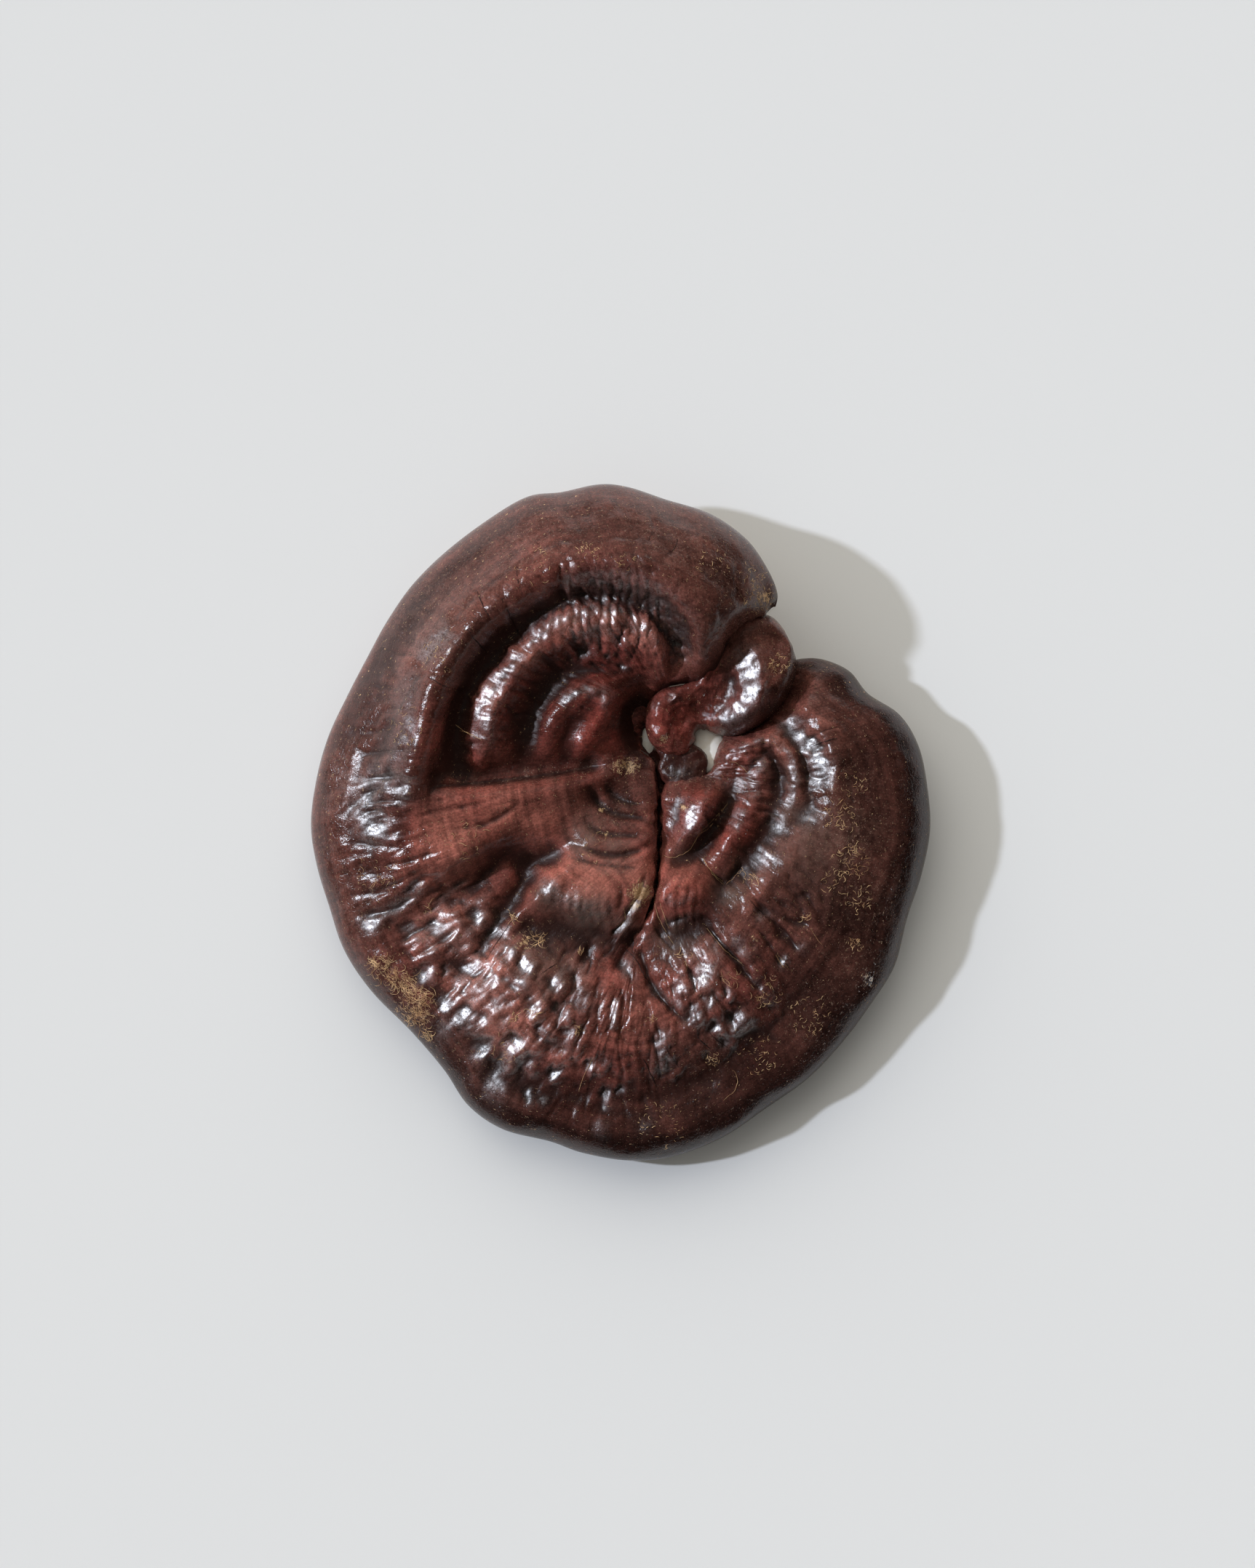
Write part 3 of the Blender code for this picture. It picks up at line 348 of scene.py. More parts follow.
GROOVES = (
    (((-46, 9.2), (-38, 9.4), (-30, 10.2), (-22, 11.2), (-14, 12.4), (-7, 13.8), (-1, 15)), 1.1, 0.8),
    (((-3.6, 9.8), (-1.4, 6.9), (2, 5.3), (6, 4.9)), 1.2, 0.7),
    (((-7.6, 9.6), (-5.9, 5.8), (-2.6, 3.1), (1.9, 1.9), (6.6, 1.4)), 1.5, 0.85),
    (((-8.6, 2), (-7.8, 0), (-4.8, -2), (-0.9, -2.6), (6.5, -2.7)), 1.2, 0.8),
    (((-13, -3.4), (-8.6, -5.6), (-4.8, -6.9), (-0.9, -7.5), (4.1, -6.5), (8, -4.8)), 1.5, 1.0),
    (((-12, -8), (-8.6, -8.8), (-3.7, -9.8), (0.7, -10.1), (4.2, -10.6)), 0.8, 0.6),
    (((-16, -8.5), (-13, -13), (-12.5, -17)), 0.5, 0.8),
    (((0.5, -13), (0.5, -17), (-0.5, -21)), 0.5, 0.7),
    (((11, -24), (13, -23), (17, -22)), 0.8, 0.6),
    (((12.5, -15), (15.5, -15.8), (19, -15.5)), 0.4, 0.7),
    (((-63, 16.5), (-57, 17.6), (-50, 18)), 0.6, 0.6),
    (((-61, 11.2), (-55, 11.6), (-49, 11.2)), 0.6, 0.6),
    (((-50, 34.6), (-45, 36.4), (-39, 37)), 0.5, 0.6),
    (((-66, -4), (-60, -4.8), (-53, -5.2)), 0.5, 0.7),
    (((-61, 5), (-55, 5.8), (-48, 5.2)), 0.6, 0.7),
    (((-58, -10), (-50, -8.6), (-43, -6)), 0.5, 0.7),
    (((-62, -17), (-55, -14.6), (-48, -11)), 0.6, 0.7),
    (((-63, -22), (-56, -21), (-50, -17.6), (-43, -15)), 0.9, 0.8),
    (((-56, -29), (-49, -26), (-43, -21.5)), 0.8, 0.8),
    (((-52, -33), (-45, -29.5), (-38, -23.5)), 0.6, 0.7),
    (((-31, -33), (-36, -38), (-41, -44)), 0.7, 0.7),
    (((-24, -25.5), (-30, -33.5), (-34, -40)), 0.6, 0.6),
    (((-12, -42), (-15, -47.5), (-18, -54)), 0.6, 0.7),
    (((-5, -37), (-7, -45), (-10, -52), (-12, -58)), 0.7, 0.7),
    (((0.5, -38), (0.5, -45), (-0.5, -52)), 0.6, 0.7),
    (((6.5, -44), (7.5, -52), (7, -60), (8, -67)), 0.6, 0.6),
    (((14.5, -30), (17, -36), (18.5, -41)), 0.6, 0.6),
    (((22, -39), (25, -44.5), (30, -50)), 0.6, 0.7),
    (((32, -24), (35.5, -28), (39, -34)), 0.7, 0.6),
    (((40, -12), (45, -17), (49, -24)), 0.5, 0.8),
    (((37.5, -22), (42, -23.5), (46, -24)), 0.7, 0.7),
    (((46, 17), (49, 18.8), (52.5, 20.6)), 0.4, 0.5),
    (((44.5, 4.6), (47.5, 6), (51, 7.4)), 0.4, 0.5),
    (((43, 10.5), (46, 12.4), (49, 13.4)), 0.4, 0.5),
    (((-34, 22), (-30.5, 21), (-27.5, 18.5)), 0.5, 0.7),
    (((-33, 31), (-28, 29), (-24.5, 25.5)), 0.5, 0.7),
    (((-28, 36), (-23.5, 33), (-19, 28)), 0.6, 0.7),
    (((-20, 44), (-17.5, 40), (-14, 36)), 0.7, 0.8),
    (((-12, 49), (-11, 44), (-9, 39)), 0.8, 0.8),
    (((-5, 50), (-5, 45), (-4.5, 40)), 0.8, 0.8),
    (((1, 49), (0, 44.5), (-1, 40)), 0.8, 0.8),
    (((5.5, 46), (3.5, 42), (2, 38.5)), 0.7, 0.7),
)
CRACKS = (
    (((-34, 56), (-32.4, 52), (-30, 47)), 0.55, 0.34),
    (((-28.4, 57), (-26, 50), (-23, 43.6)), 0.6, 0.34),
    (((-24.4, 62), (-23.8, 57), (-23, 53)), 0.5, 0.32),
    (((-14, 64), (-14.4, 59), (-14, 54.6)), 0.6, 0.34),
    (((-37, 46.5), (-34, 43.5), (-31, 41.4)), 0.4, 0.32),
    (((-7, 62), (-7.4, 58), (-7, 55.4)), 0.4, 0.34),
    (((7, 55.6), (5.4, 53.2), (4.4, 50.8)), 0.4, 0.34),
    (((11, 63.5), (13.4, 66.4), (14, 69)), 0.35, 0.32),
    (((-3, -8.4), (0.5, -9.2), (1.6, -6.2)), 0.35, 0.3),
    (((21.4, -25), (25.4, -29.6), (30, -34.4)), 0.6, 0.34),
    (((8, -24), (10.4, -27.6), (13, -30.4)), 0.6, 0.34),
    (((-8.6, -30), (-7, -33), (-8, -36.4)), 0.5, 0.4),
    (((37.4, -23.4), (41, -27.4), (42.6, -30.4)), 0.5, 0.4),
    (((45, 20), (49, 22.6), (53.4, 23.6)), 0.35, 0.3),
    (((38, -31), (39.8, -33.2), (41.4, -35.4)), 0.4, 0.3),
    (((30.5, -2), (33.6, -0.6), (36.4, 1.8)), 0.35, 0.4),
    (((29.6, 0.4), (32.6, 2), (35.2, 3.6)), 0.35, 0.4),
    (((28.4, 4.4), (31.6, 5.2), (35, 6)), 0.35, 0.4),
    (((27.6, 7.6), (31, 8), (35.4, 8.6)), 0.35, 0.4),
    (((30, 12), (32.4, 14), (35, 17)), 0.35, 0.4),
    (((28, 13.4), (30, 16), (32, 18)), 0.3, 0.4),
)

# Places with more of a finish, as (x, y, radius, amount). The tawny lacquer of the backs is
# partly painted light and painted sheen where backs and patches face the light; the blackish
# lacquer of new growth is partly painted shade on the side away from the light and in the bowl.
WRINKLED = (
    (-58, 24, 12, 0.45), (-58, 8, 12, 0.7), (-57, -12, 13, 0.6), (-52, -28, 12, 0.7), (-50, 38, 9, 0.4),
    (-38, -35, 13, 0.6), (-20, -50, 15, 0.5), (-2, -58, 16, 0.6), (14, -52, 13, 0.5), (30, -42, 12, 0.5),
    (-12, 56, 9, 1.0), (2, 57, 9, 0.9), (-24, 50, 8, 0.6), (-12, 47, 9, 1.0), (0, 48, 9, 1.0),
    (-24, 40, 9, 0.8), (-33, 28, 7, 0.7), (-8, 41, 9, 0.9), (6, 44, 7, 0.8), (40, -18, 11, 0.5),
    (33, 2, 7, 0.8), (33, 16, 6, 0.9), (47, 12, 8, 0.4), (-16, -66, 11, 0.5), (-40, -16, 11, 0.5),
    (-36, 2, 10, 0.3), (0, 68, 24, 0.12), (58, -10, 18, 0.15), (24, 2, 5, 0.7), (27, -8, 5, 0.6),
)
DENTED = (
    (-56, 8, 16, 0.6), (-50, -20, 17, 0.9), (-35, -38, 19, 1.0), (-12, -48, 20, 0.9), (20, -42, 19, 1.0),
    (38, -20, 16, 0.8), (-30, 30, 12, 0.8), (-8, 48, 14, 0.7), (10, 46, 10, 0.8), (32, 12, 10, 0.6),
    (0, 70, 36, 0.22), (58, 0, 24, 0.3), (-50, 45, 18, 0.35), (-5, -12, 12, 0.15), (-36, 0, 12, 0.4),
    (-8, 28, 8, 0.6), (18, 2, 6, 0.5), (48, 12, 10, 0.5), (0, -34, 12, 0.6), (-56, -46, 12, 0.7),
)
# Tawny lacquer, partly painted light and painted sheen on the backs and patches that face the light
PALED_AND_LIT = (
    (-12, 48, 5, 1.0), (-3, 48.4, 5, 1.0), (5, 46, 4, 1.0), (-6, -14, 8, 1.0), (-22, 41, 4, 0.8),
    (-31, 31, 4, 0.8), (4, -14, 6, 1.0), (-14, -12, 6, 0.7), (-42, -2, 9, 0.9), (-28, 4, 8, 0.8),
    (-20, -1, 7, 0.7), (38, 18, 4, 0.6), (0, 57, 5, 0.5), (10, 52, 5, 0.5), (0, -48, 12, 0.3),
    (-50, -12, 7, 0.4), (14, -14, 5, 0.5), (-34, -36, 9, 0.9), (-44, -22, 9, 0.9), (-24, -48, 10, 0.7),
    (-12, -56, 8, 0.5), (-12, -34, 8, 0.4), (20, -38, 8, 0.4), (46, 20, 7, 0.4), (-8, -52, 9, 0.3),
    (-48, 22, 7, 0.4),
)
# Blackish lacquer of new growth, partly painted shade along the right and bottom margin, away from the
# light, and in the bowl beside the knob
DARKENED_AND_SHADED = (
    (-21, 24, 5, 0.8), (-17, 32, 5, 0.7), (-8, 37, 4, 0.5), (0, 36, 5, 0.6), (-14, -74, 13, 0.8),
    (4, -77, 14, 0.9), (22, -72, 14, 0.95), (38, -62, 15, 0.95), (52, -46, 15, 0.9), (64, -30, 13, 0.9),
    (71, -12, 10, 0.9), (73, 4, 9, 0.9), (69, 20, 9, 0.85), (57, 34, 9, 0.7), (34, 54, 8, 0.5),
    (1, 7, 7, 0.6), (28, -62, 12, 0.8), (44, -38, 14, 0.7), (-36, -64, 9, 0.5), (30, 66, 8, 0.5),
    (56, -20, 14, 0.75), (62, 0, 12, 0.75), (60, 14, 12, 0.75), (-10, 77, 8, 0.35), (-26, 73, 7, 0.3),
    (8, 75, 8, 0.4), (22, 70, 8, 0.4), (12, 22, 6, 0.5), (-44, 50, 13, 0.36), (-30, 63, 13, 0.34),
    (-10, 69, 13, 0.45), (10, 68, 12, 0.5), (-57, 22, 15, 0.5), (-60, 2, 13, 0.55), (27, 60, 10, 0.75),
    (-62, -14, 12, 0.45), (60, -24, 15, 1.0), (52, -46, 15, 1.0),
)
REDDENED = (
    (-6, 42, 14, 1.0), (-22, 26, 12, 0.9), (-8, 24, 14, 0.9), (0, -14, 13, 1.0), (14, -16, 9, 0.9),
    (17, 3, 8, 0.9), (-30, 6, 14, 0.7), (-20, -8, 12, 0.8), (28, -2, 9, 0.8), (12, 26, 9, 0.9),
    (14, -36, 10, 0.6), (-8, -56, 14, 0.5), (-50, -4, 12, 0.4), (-46, -30, 10, 0.5), (30, 28, 8, 0.5),
    (-38, 20, 12, 0.6), (-10, 56, 16, 0.4), (-4, -34, 12, 0.5), (28, -40, 12, 0.4), (34, 14, 9, 0.5),
)
BLOOMED = (
    (-8, -22.5, 7, 1.0), (-17, -17.5, 4, 0.7), (1, -24, 4, 0.8), (13, -27.5, 5, 0.9), (26, -16, 4, 0.8),
    (31, -11, 4, 0.7), (42, 3, 4, 0.6), (-8, -4, 6, 0.7), (-2, -6.5, 6, 0.6), (16, -7, 3, 0.6),
    (-16, -34, 8, 0.5), (46, -6, 10, 0.4), (40, 12, 4, 0.5),
)
DUSTED = (
    (-40, 9.8, 2.4, 0.9), (-34, 10, 2.4, 0.9), (-28, 10.8, 2.4, 1.0), (-22, 11.6, 2.4, 1.0),
    (-16, 12.4, 2.4, 1.0), (-10, 13.4, 2.4, 1.0), (-5, 14.2, 2.4, 0.9), (8.6, 14, 3, 0.8),
    (16, 11.4, 3, 0.9), (22, 11, 2.4, 0.8), (-1, 4, 3, 0.6), (-3, 0, 3, 0.6), (56, -2, 9, 1.0),
    (52, 8, 9, 0.7), (38, 39, 5, 1.0), (31, 53, 7, 0.9), (33, 58, 5, 0.7), (20, 62, 12, 0.5),
    (-20, 66, 16, 0.4), (-48, 52, 12, 0.5), (58, -34, 8, 0.6), (46, -46, 9, 0.4), (-66, 10, 8, 0.5),
    (-62, -20, 9, 0.5), (0, 13.5, 4, 0.9), (-44, 44, 9, 0.5), (62, -18, 9, 0.6), (10, 70, 12, 0.4),
    (-22, -2, 6, 0.3), (22, 48, 6, 0.5), (-35, -3, 6, 0.3), (22, -56, 6, 0.3),
)
BARED = (
    (-57, -34, 3, 0.3), (-52, -39, 4, 0.4), (-48.5, -45, 3.5, 0.45), (-52, -46, 3, 0.4),
    (5.0, -16.4, 2.4, 1.1), (3.6, -19.6, 1.4, 0.9), (2.6, 14, 2.2, 0.7), (-0.6, 14.2, 1.8, 0.5),
    (12, 12, 2.2, 0.3), (-4.4, 3.6, 0.8, 0.8), (-3.4, -2, 0.8, 0.6), (15.4, 4.2, 0.9, 0.8),
    (10.6, 20.6, 1.1, 0.7), (35, 54.4, 2.2, 0.6), (-23, -28.6, 2.6, 0.45), (60.5, -37.6, 2, 0.4),
    (33, -28, 1.5, 0.4),
)

# Grainy places that catch the light, as (points, amount, half width) and, below, as
# (x, y, radius, amount)
SHEEN_LINES = (
    (((-21.5, -11.5), (-17.5, -14.9), (-14.1, -17.6), (-10.3, -19.2), (-5.9, -20.8),
      (-1.5, -21.8)), 1.0, 1.9),
    (((-50, 38), (-51, 30), (-51, 23), (-54, 16), (-57, 8), (-58, -4)), 0.28, 2.2),
    (((-48, 39), (-45, 43), (-40, 47)), 0.5, 2.5),
    (((-14, 58.5), (-12, 57.4), (-10, 56)), 1.0, 2.0),
    (((-14, 57.6), (-7, 58.6), (0, 57.4), (4, 56.6), (8.4, 53.8), (12, 49.6), (14.4, 44),
      (15, 38)), 1.0, 3.0),
    (((-35, 17), (-32.6, 25), (-31.4, 30), (-28, 35.6), (-23, 41)), 1.0, 2.4),
    (((-24, 41), (-19, 45.6), (-12, 49.8), (-5, 50.8), (1, 49.8), (5.6, 46.4), (9.4, 42)), 1.0, 2.4),
    (((-16, 45), (-11, 46.4), (-5, 46.6), (1, 45)), 1.0, 3.0),
    (((-14.5, 29), (-12.6, 31), (-9.4, 32.4), (-4.7, 32.6), (-1.4, 31)), 1.0, 1.2),
    (((28, 43), (30.4, 39), (31.6, 34), (30.6, 29), (27, 24.6), (24, 23.4)), 1.0, 2.6),
    (((28.4, 18), (32, 20), (36.7, 20.2), (41.3, 16), (42.2, 10.6), (40.8, 5)), 0.8, 1.3),
    (((38.4, 25.4), (42.1, 23), (45.5, 19.4), (48.2, 15), (48.4, 8)), 1.0, 2.3),
    (((9.6, -18.4), (13, -18.2), (18.4, -16.4)), 1.0, 1.0),
    (((10, -24.2), (14, -23.2), (19.6, -21.4)), 0.9, 0.8),
    (((-0.8, -27), (2, -23), (5, -18), (7, -13.4)), 0.9, 1.0),
    (((7.4, -38), (10, -41), (14, -44.4), (17, -47)), 1.0, 0.9),
    (((-1, -41.6), (-1.4, -46), (-2, -50.4)), 0.9, 1.0),
    (((10, -49.6), (10.2, -56), (12, -60.4)), 1.0, 1.7),
    (((-58, -23), (-53, -19.4), (-47.4, -14)), 1.0, 1.6),
    (((-45.6, -20), (-41, -16.6), (-37, -13)), 0.7, 1.2),
    (((31, -35), (34, -39), (38, -44)), 0.5, 1.5),
)
SHEEN_SPOTS = (
    (-40, -27, 5, 0.8), (-32, -38, 3.4, 0.8), (-24, -38, 3, 0.8), (-36, -34, 3, 0.8), (-45, -24, 3, 0.8),
    (-22, -58, 3, 0.7), (-28, -58, 3, 0.8), (-14, -46, 2.4, 0.7), (-42, -44, 2.6, 0.8),
    (-34, -48, 2.6, 0.8), (24, -30, 2.4, 0.7), (30, -31, 2.4, 0.7), (18, -46, 2.4, 0.7),
    (22, -42, 2.4, 0.8), (2, -34, 2, 0.5), (-11, -36, 2.4, 0.6), (38, 0, 2.4, 0.6), (36, -8, 2.4, 0.6),
    (45, 2, 2.4, 0.5), (28, 2, 2.4, 0.6), (-30, -44, 3, 0.9), (-20, -44, 3, 0.8), (-33, -55, 3.4, 0.8),
    (-18, -50, 2.6, 0.8), (-38, -40, 2.6, 0.8), (-50, -26, 3, 0.8), (-30, -26, 2.4, 0.8),
    (-12, -50, 2.4, 0.7), (-28, -48, 2, 0.9), (-57, 11, 3.4, 0.5), (-52, 8, 3, 0.7), (-60, 8, 3, 0.6),
    (-63, 4, 2.4, 0.6), (17.4, 1.3, 3.6, 1.0), (-42, -25, 4.2, 1.0), (-34, -22.6, 3.2, 1.0),
    (-38, -29, 4, 0.9), (-46, -30, 2.6, 0.8), (-47, -36.4, 2.6, 1.0), (-42, -35.4, 2, 0.9),
    (-37, -46.4, 3.2, 1.0), (-34, -41, 2.4, 1.0), (-42, -49, 3.4, 0.6), (-26.4, -31, 2.4, 1.0),
    (-22.6, -33.6, 3, 1.0), (-27, -37, 1.4, 0.9), (-15.6, -38.6, 2.8, 1.0), (-8.6, -43, 3.2, 0.6),
    (-25, -53.6, 4.2, 1.0), (-14, -54, 4.4, 0.4), (-30, -63, 4.6, 0.6), (-22, -66, 1.6, 1.0),
    (-18.6, -67.4, 1.5, 0.9), (-16, -61, 2, 0.9), (-7, -59, 2, 0.8), (-3.6, -57.6, 1.6, 0.9),
    (-3, -66, 2, 0.9), (0.6, -65, 1.4, 0.8), (15, -40, 2.2, 0.9), (20.4, -36, 4, 1.0),
    (26, -41, 1.2, 0.9), (28, -47.6, 3, 1.0), (23.6, -49, 2.6, 0.9), (26, -53, 1.8, 0.7),
    (28, -29, 3, 0.6), (34.4, -22.4, 2, 0.6), (0.4, 44, 2.2, 1.0), (-3, 40.4, 1.2, 1.0),
    (1, 37.6, 1.2, 1.0), (-7, 42, 3, 0.6), (-4, 30.4, 1.6, 0.9), (12.4, 31.4, 1.4, 1.0),
    (8.6, 28.8, 1.4, 0.6), (2.6, 13.8, 2, 0.4), (13.4, 12, 1.4, 1.0), (16.4, 11.6, 1.4, 1.0),
    (34, 14, 2.6, 0.8), (32, 9, 3, 0.5), (-59, -1, 3.6, 0.9), (-62, 9, 3, 0.4), (-60, -24, 2.4, 0.8),
    (-5, -74, 2, 0.5), (6, -73, 2, 0.4), (39.4, -33, 1.2, 1.0), (44, -29, 1.6, 0.5),
)
# They lie as small faces that rise to the right and fall up the plan, by FACE_SLOPE
FACE_SLOPE = (0.51, -0.09)
FACE_SPREAD = 1.2
FACE_REACH = 2.6
MOST_LEAN = 1.6
# A line has such faces only where it runs up and down the plan, from a little to fully
FACED_LINES = (0.5, 0.9)
LINE_POINTS = 80

# Crests with pleats that lean to the left, as (x, y, radius, amount)
PLEATED = (
    (-16, 46.5, 5, 1.0), (-9, 49.5, 5, 1.0), (-2, 50, 5, 1.0), (5, 47, 5, 1.0), (-4, 45, 5, 0.7),
    (-12, 57, 4, 0.8), (-3, 57.6, 4, 0.9), (4, 56.6, 4, 1.0), (10, 52.6, 4, 1.0), (-16, -16.8, 3.4, 1.0),
    (-10.5, -19, 3.4, 1.0), (-4.8, -20.4, 3.4, 1.0), (13, -18, 3, 0.6), (17, -17, 3, 0.6),
    (12, -24, 2.4, 0.6), (17, -22, 2.4, 0.6), (12, -58, 4, 0.5), (31, 20, 3.4, 0.6), (36, 20, 3, 0.6),
    (-8, 32, 3, 0.5),
)
PLEAT_WIDTH = 2.3
PLEAT_HEIGHT = 1.0
PLEAT_FLANK = 0.72

# Tufts of loose strands, as (x, y, radius, strands, length, heading and spread in degrees)
TUFTS = (
    (-57.5, -34.5, 3.2, 44, 3.0, -50, 50), (-53.5, -38, 3.2, 52, 3.0, -50, 50),
    (-50, -42, 2.8, 46, 3.0, -55, 50), (-49.6, -46.4, 2.4, 40, 2.6, -60, 50),
    (-47.2, -50.4, 1.8, 24, 2.2, -50, 50), (-60, -33, 1.6, 20, 2.4, -50, 60),
    (-46.6, -41, 2.0, 16, 3.0, -45, 40), (-18.6, -27.2, 1.5, 16, 3.8, 228, 26),
    (-25.6, -47, 0.9, 10, 2.0, 80, 60), (-21, -46.6, 0.9, 9, 3.0, 62, 24),
    (-9.6, -49.6, 0.8, 14, 1.6, 0, 180), (-9.6, -31.2, 0.6, 8, 1.8, 100, 40),
    (-25.8, -22.8, 0.9, 12, 2.0, 0, 180), (-47, -20, 1.2, 8, 2.4, 20, 60), (8, -47, 0.9, 16, 1.0, 90, 60),
    (22.6, -57, 1.6, 24, 1.2, 0, 180), (57, -29, 1.8, 26, 1.1, 0, 180),
    (44.4, -22.4, 1.2, 8, 2.2, -20, 60), (56, -9, 4.5, 60, 1.6, 0, 180), (53, 2, 4.0, 44, 1.5, 0, 180),
    (58, -18, 3.6, 30, 1.5, 0, 180), (51, -14, 3.0, 18, 1.6, 0, 180), (56, 10, 3.4, 20, 1.3, 0, 180),
    (38.4, 38.6, 2.8, 46, 1.1, 0, 180), (33, 53.6, 3.4, 50, 1.1, 0, 180), (32, 60, 3.0, 30, 1.0, 0, 180),
    (22, 63, 4.0, 18, 1.2, 0, 180), (-7.6, 64.8, 2.6, 26, 1.1, 0, 180), (1.4, 62, 2.6, 16, 1.1, 0, 180),
    (-20, 62, 5.0, 16, 1.2, 0, 180), (26, -36.4, 2.4, 12, 1.8, -50, 40), (35, -40, 4.0, 26, 2.4, -52, 20),
    (14.6, -32, 2.0, 6, 3.0, -30, 20), (46, -46, 5.0, 40, 1.3, 0, 180), (34, -56, 5.0, 40, 1.2, 0, 180),
    (10, -73, 6.0, 40, 1.2, 0, 180), (-44, 40, 4.0, 20, 1.4, 20, 60), (-52, 24, 5.0, 26, 1.6, 10, 40),
    (0.4, 14, 1.8, 24, 0.9, 0, 180), (4.6, -17, 1.3, 30, 1.2, 75, 30), (30.6, -12, 2.4, 14, 2.0, -40, 30),
    (-37, -4, 5.0, 20, 2.0, 30, 30), (-59, -12, 5.0, 26, 2.0, 30, 40), (-6, -4, 5.0, 22, 1.0, 0, 180),
    (-28, -54, 4.0, 18, 1.4, 50, 60),
)

# Single pale hairs and the pale edges of fine growth lines
HAIRS = (
    ((-39.6, 24.2), (-38, 22.9), (-35.6, 21.6), (-33, 20.2)),
    ((-38.6, 22.6), (-36.8, 22.4), (-35.2, 20.8)), ((20, -8), (22, -11), (25.4, -14.4)),
    ((29, -11), (27.2, -13.2), (25.6, -14.6)), ((17, -2.6), (19.6, -1.6), (22, 0.6), (25, 4)),
    ((26.6, 15.2), (28.8, 14.6), (30.4, 13), (32, 11)), ((8, -17), (9.4, -22.6), (13, -29)),
    ((21, -25), (24.6, -29.6), (30, -34.2)), ((-10, -65), (-8.8, -61), (-6.4, -56.4)),
    ((27.4, -59.6), (28.6, -61.6), (27.8, -64.6), (25.2, -67)), ((38, -31), (39.4, -33), (41, -35)),
    ((37.6, -31.4), (38.8, -33.4), (40, -34.8)), ((46, -25), (47.4, -27.2), (49, -29.4)),
    ((24.4, -37), (25.8, -38.6), (27.4, -39.4)), ((34, 20), (37, 19.6), (39, 17.4)),
    ((10.5, -7.4), (13, -8), (17, -6), (19, -2.6), (22, -0.4), (26, 5)),
    ((20, -8), (22.4, -11.8), (25, -14.6)), ((9.4, -17.6), (10.6, -22), (12, -25.2)),
    ((1, -20), (1.2, -22.6), (0, -25)),
)

# Hairline cracks, dark
HAIRLINES = (
    ((-29.4, 57), (-27, 51.6), (-24.6, 46.6), (-22.6, 43.8)), ((-24.6, 62.4), (-24.2, 58), (-22.8, 54)),
    ((-14, 64.6), (-14.4, 61), (-13.8, 56), (-14.2, 53)), ((-34.4, 56.4), (-32.6, 52.4), (-30.4, 48.6)),
    ((3.2, 64.6), (2.8, 62.6), (1.6, 60.8)), ((-6.2, 64), (-5.6, 62.2), (-6, 60)),
    ((11, 64.4), (13.2, 66.2), (14, 69)), ((20.6, -49.2), (23, -51.8), (26.2, -54.2)),
    ((18.6, -51), (20, -52.8), (22, -54.4)), ((10.4, -53), (12.4, -56), (14.6, -59.2)),
    ((5.2, -55.8), (7.2, -60), (9, -64)), ((21.6, -25.6), (25.6, -30.2), (30.4, -34.8)),
    ((0.6, -29.4), (4, -33), (6.2, -37), (9, -40.8)), ((9.6, -23.8), (11.4, -26.6), (13, -29.2)),
    ((31, -18), (33.4, -20.4), (36.4, -23.6)), ((45, 20), (49, 22.6), (53.6, 23.8)),
    ((46, 18.6), (49.6, 20.2), (52.6, 20.8)), ((74.4, 11.4), (72.4, 11.2), (70.6, 11.8)),
    ((-19.4, -36.2), (-17, -34.6), (-15, -33.2)),
    ((-33, -33.4), (-30.4, -29.6), (-27.4, -25.2), (-24.2, -20.4)),
    ((-46, 36), (-43, 33.6), (-40.4, 32.8)), ((-36.6, 47), (-34, 43.6), (-31.6, 41)),
    ((38.6, 41.4), (42, 39.8), (44, 39.6)), ((-63, 17), (-57, 17.8), (-50.4, 18.2)),
    ((-64, 4), (-58, 4.6), (-50, 4.4)), ((6.4, 67), (7.4, 69), (7.8, 70.4)),
)


def spline(points, t):
    """Read a smooth curve through points at t, counted in points from the first."""
    points = np.asarray(points, float)
    last = len(points) - 1
    t = np.clip(np.asarray(t, float), 0, last)
    i = np.minimum(t.astype(int), last - 1)
    f = (t - i)[..., None]
    before = points[np.maximum(i - 1, 0)]
    start = points[i]
    end = points[i + 1]
    after = points[np.minimum(i + 2, last)]
    linear = (end - before) * f
    square = (2 * before - 5 * start + 4 * end - after) * f ** 2
    cube = (3 * start - before - 3 * end + after) * f ** 3
    return 0.5 * (2 * start + linear + square + cube)


def keyed(keys, t):
    """Read a value given at a few of the outline's points, smoothly between them."""
    at, value = np.asarray(keys, float).T
    slope = np.gradient(value, at)
    i = np.clip(np.searchsorted(at, t, side="right") - 1, 0, len(at) - 2)
    step = at[i + 1] - at[i]
    s = (t - at[i]) / step
    start = (1 + 2 * s) * (1 - s) ** 2 * value[i] + s * (1 - s) ** 2 * step * slope[i]
    end = s ** 2 * (3 - 2 * s) * value[i + 1] + s ** 2 * (s - 1) * step * slope[i + 1]
    return start + end


def smooth_step(low, high, value):
    share = np.clip((value - low) / (high - low), 0, 1)
    return share * share * (3 - 2 * share)


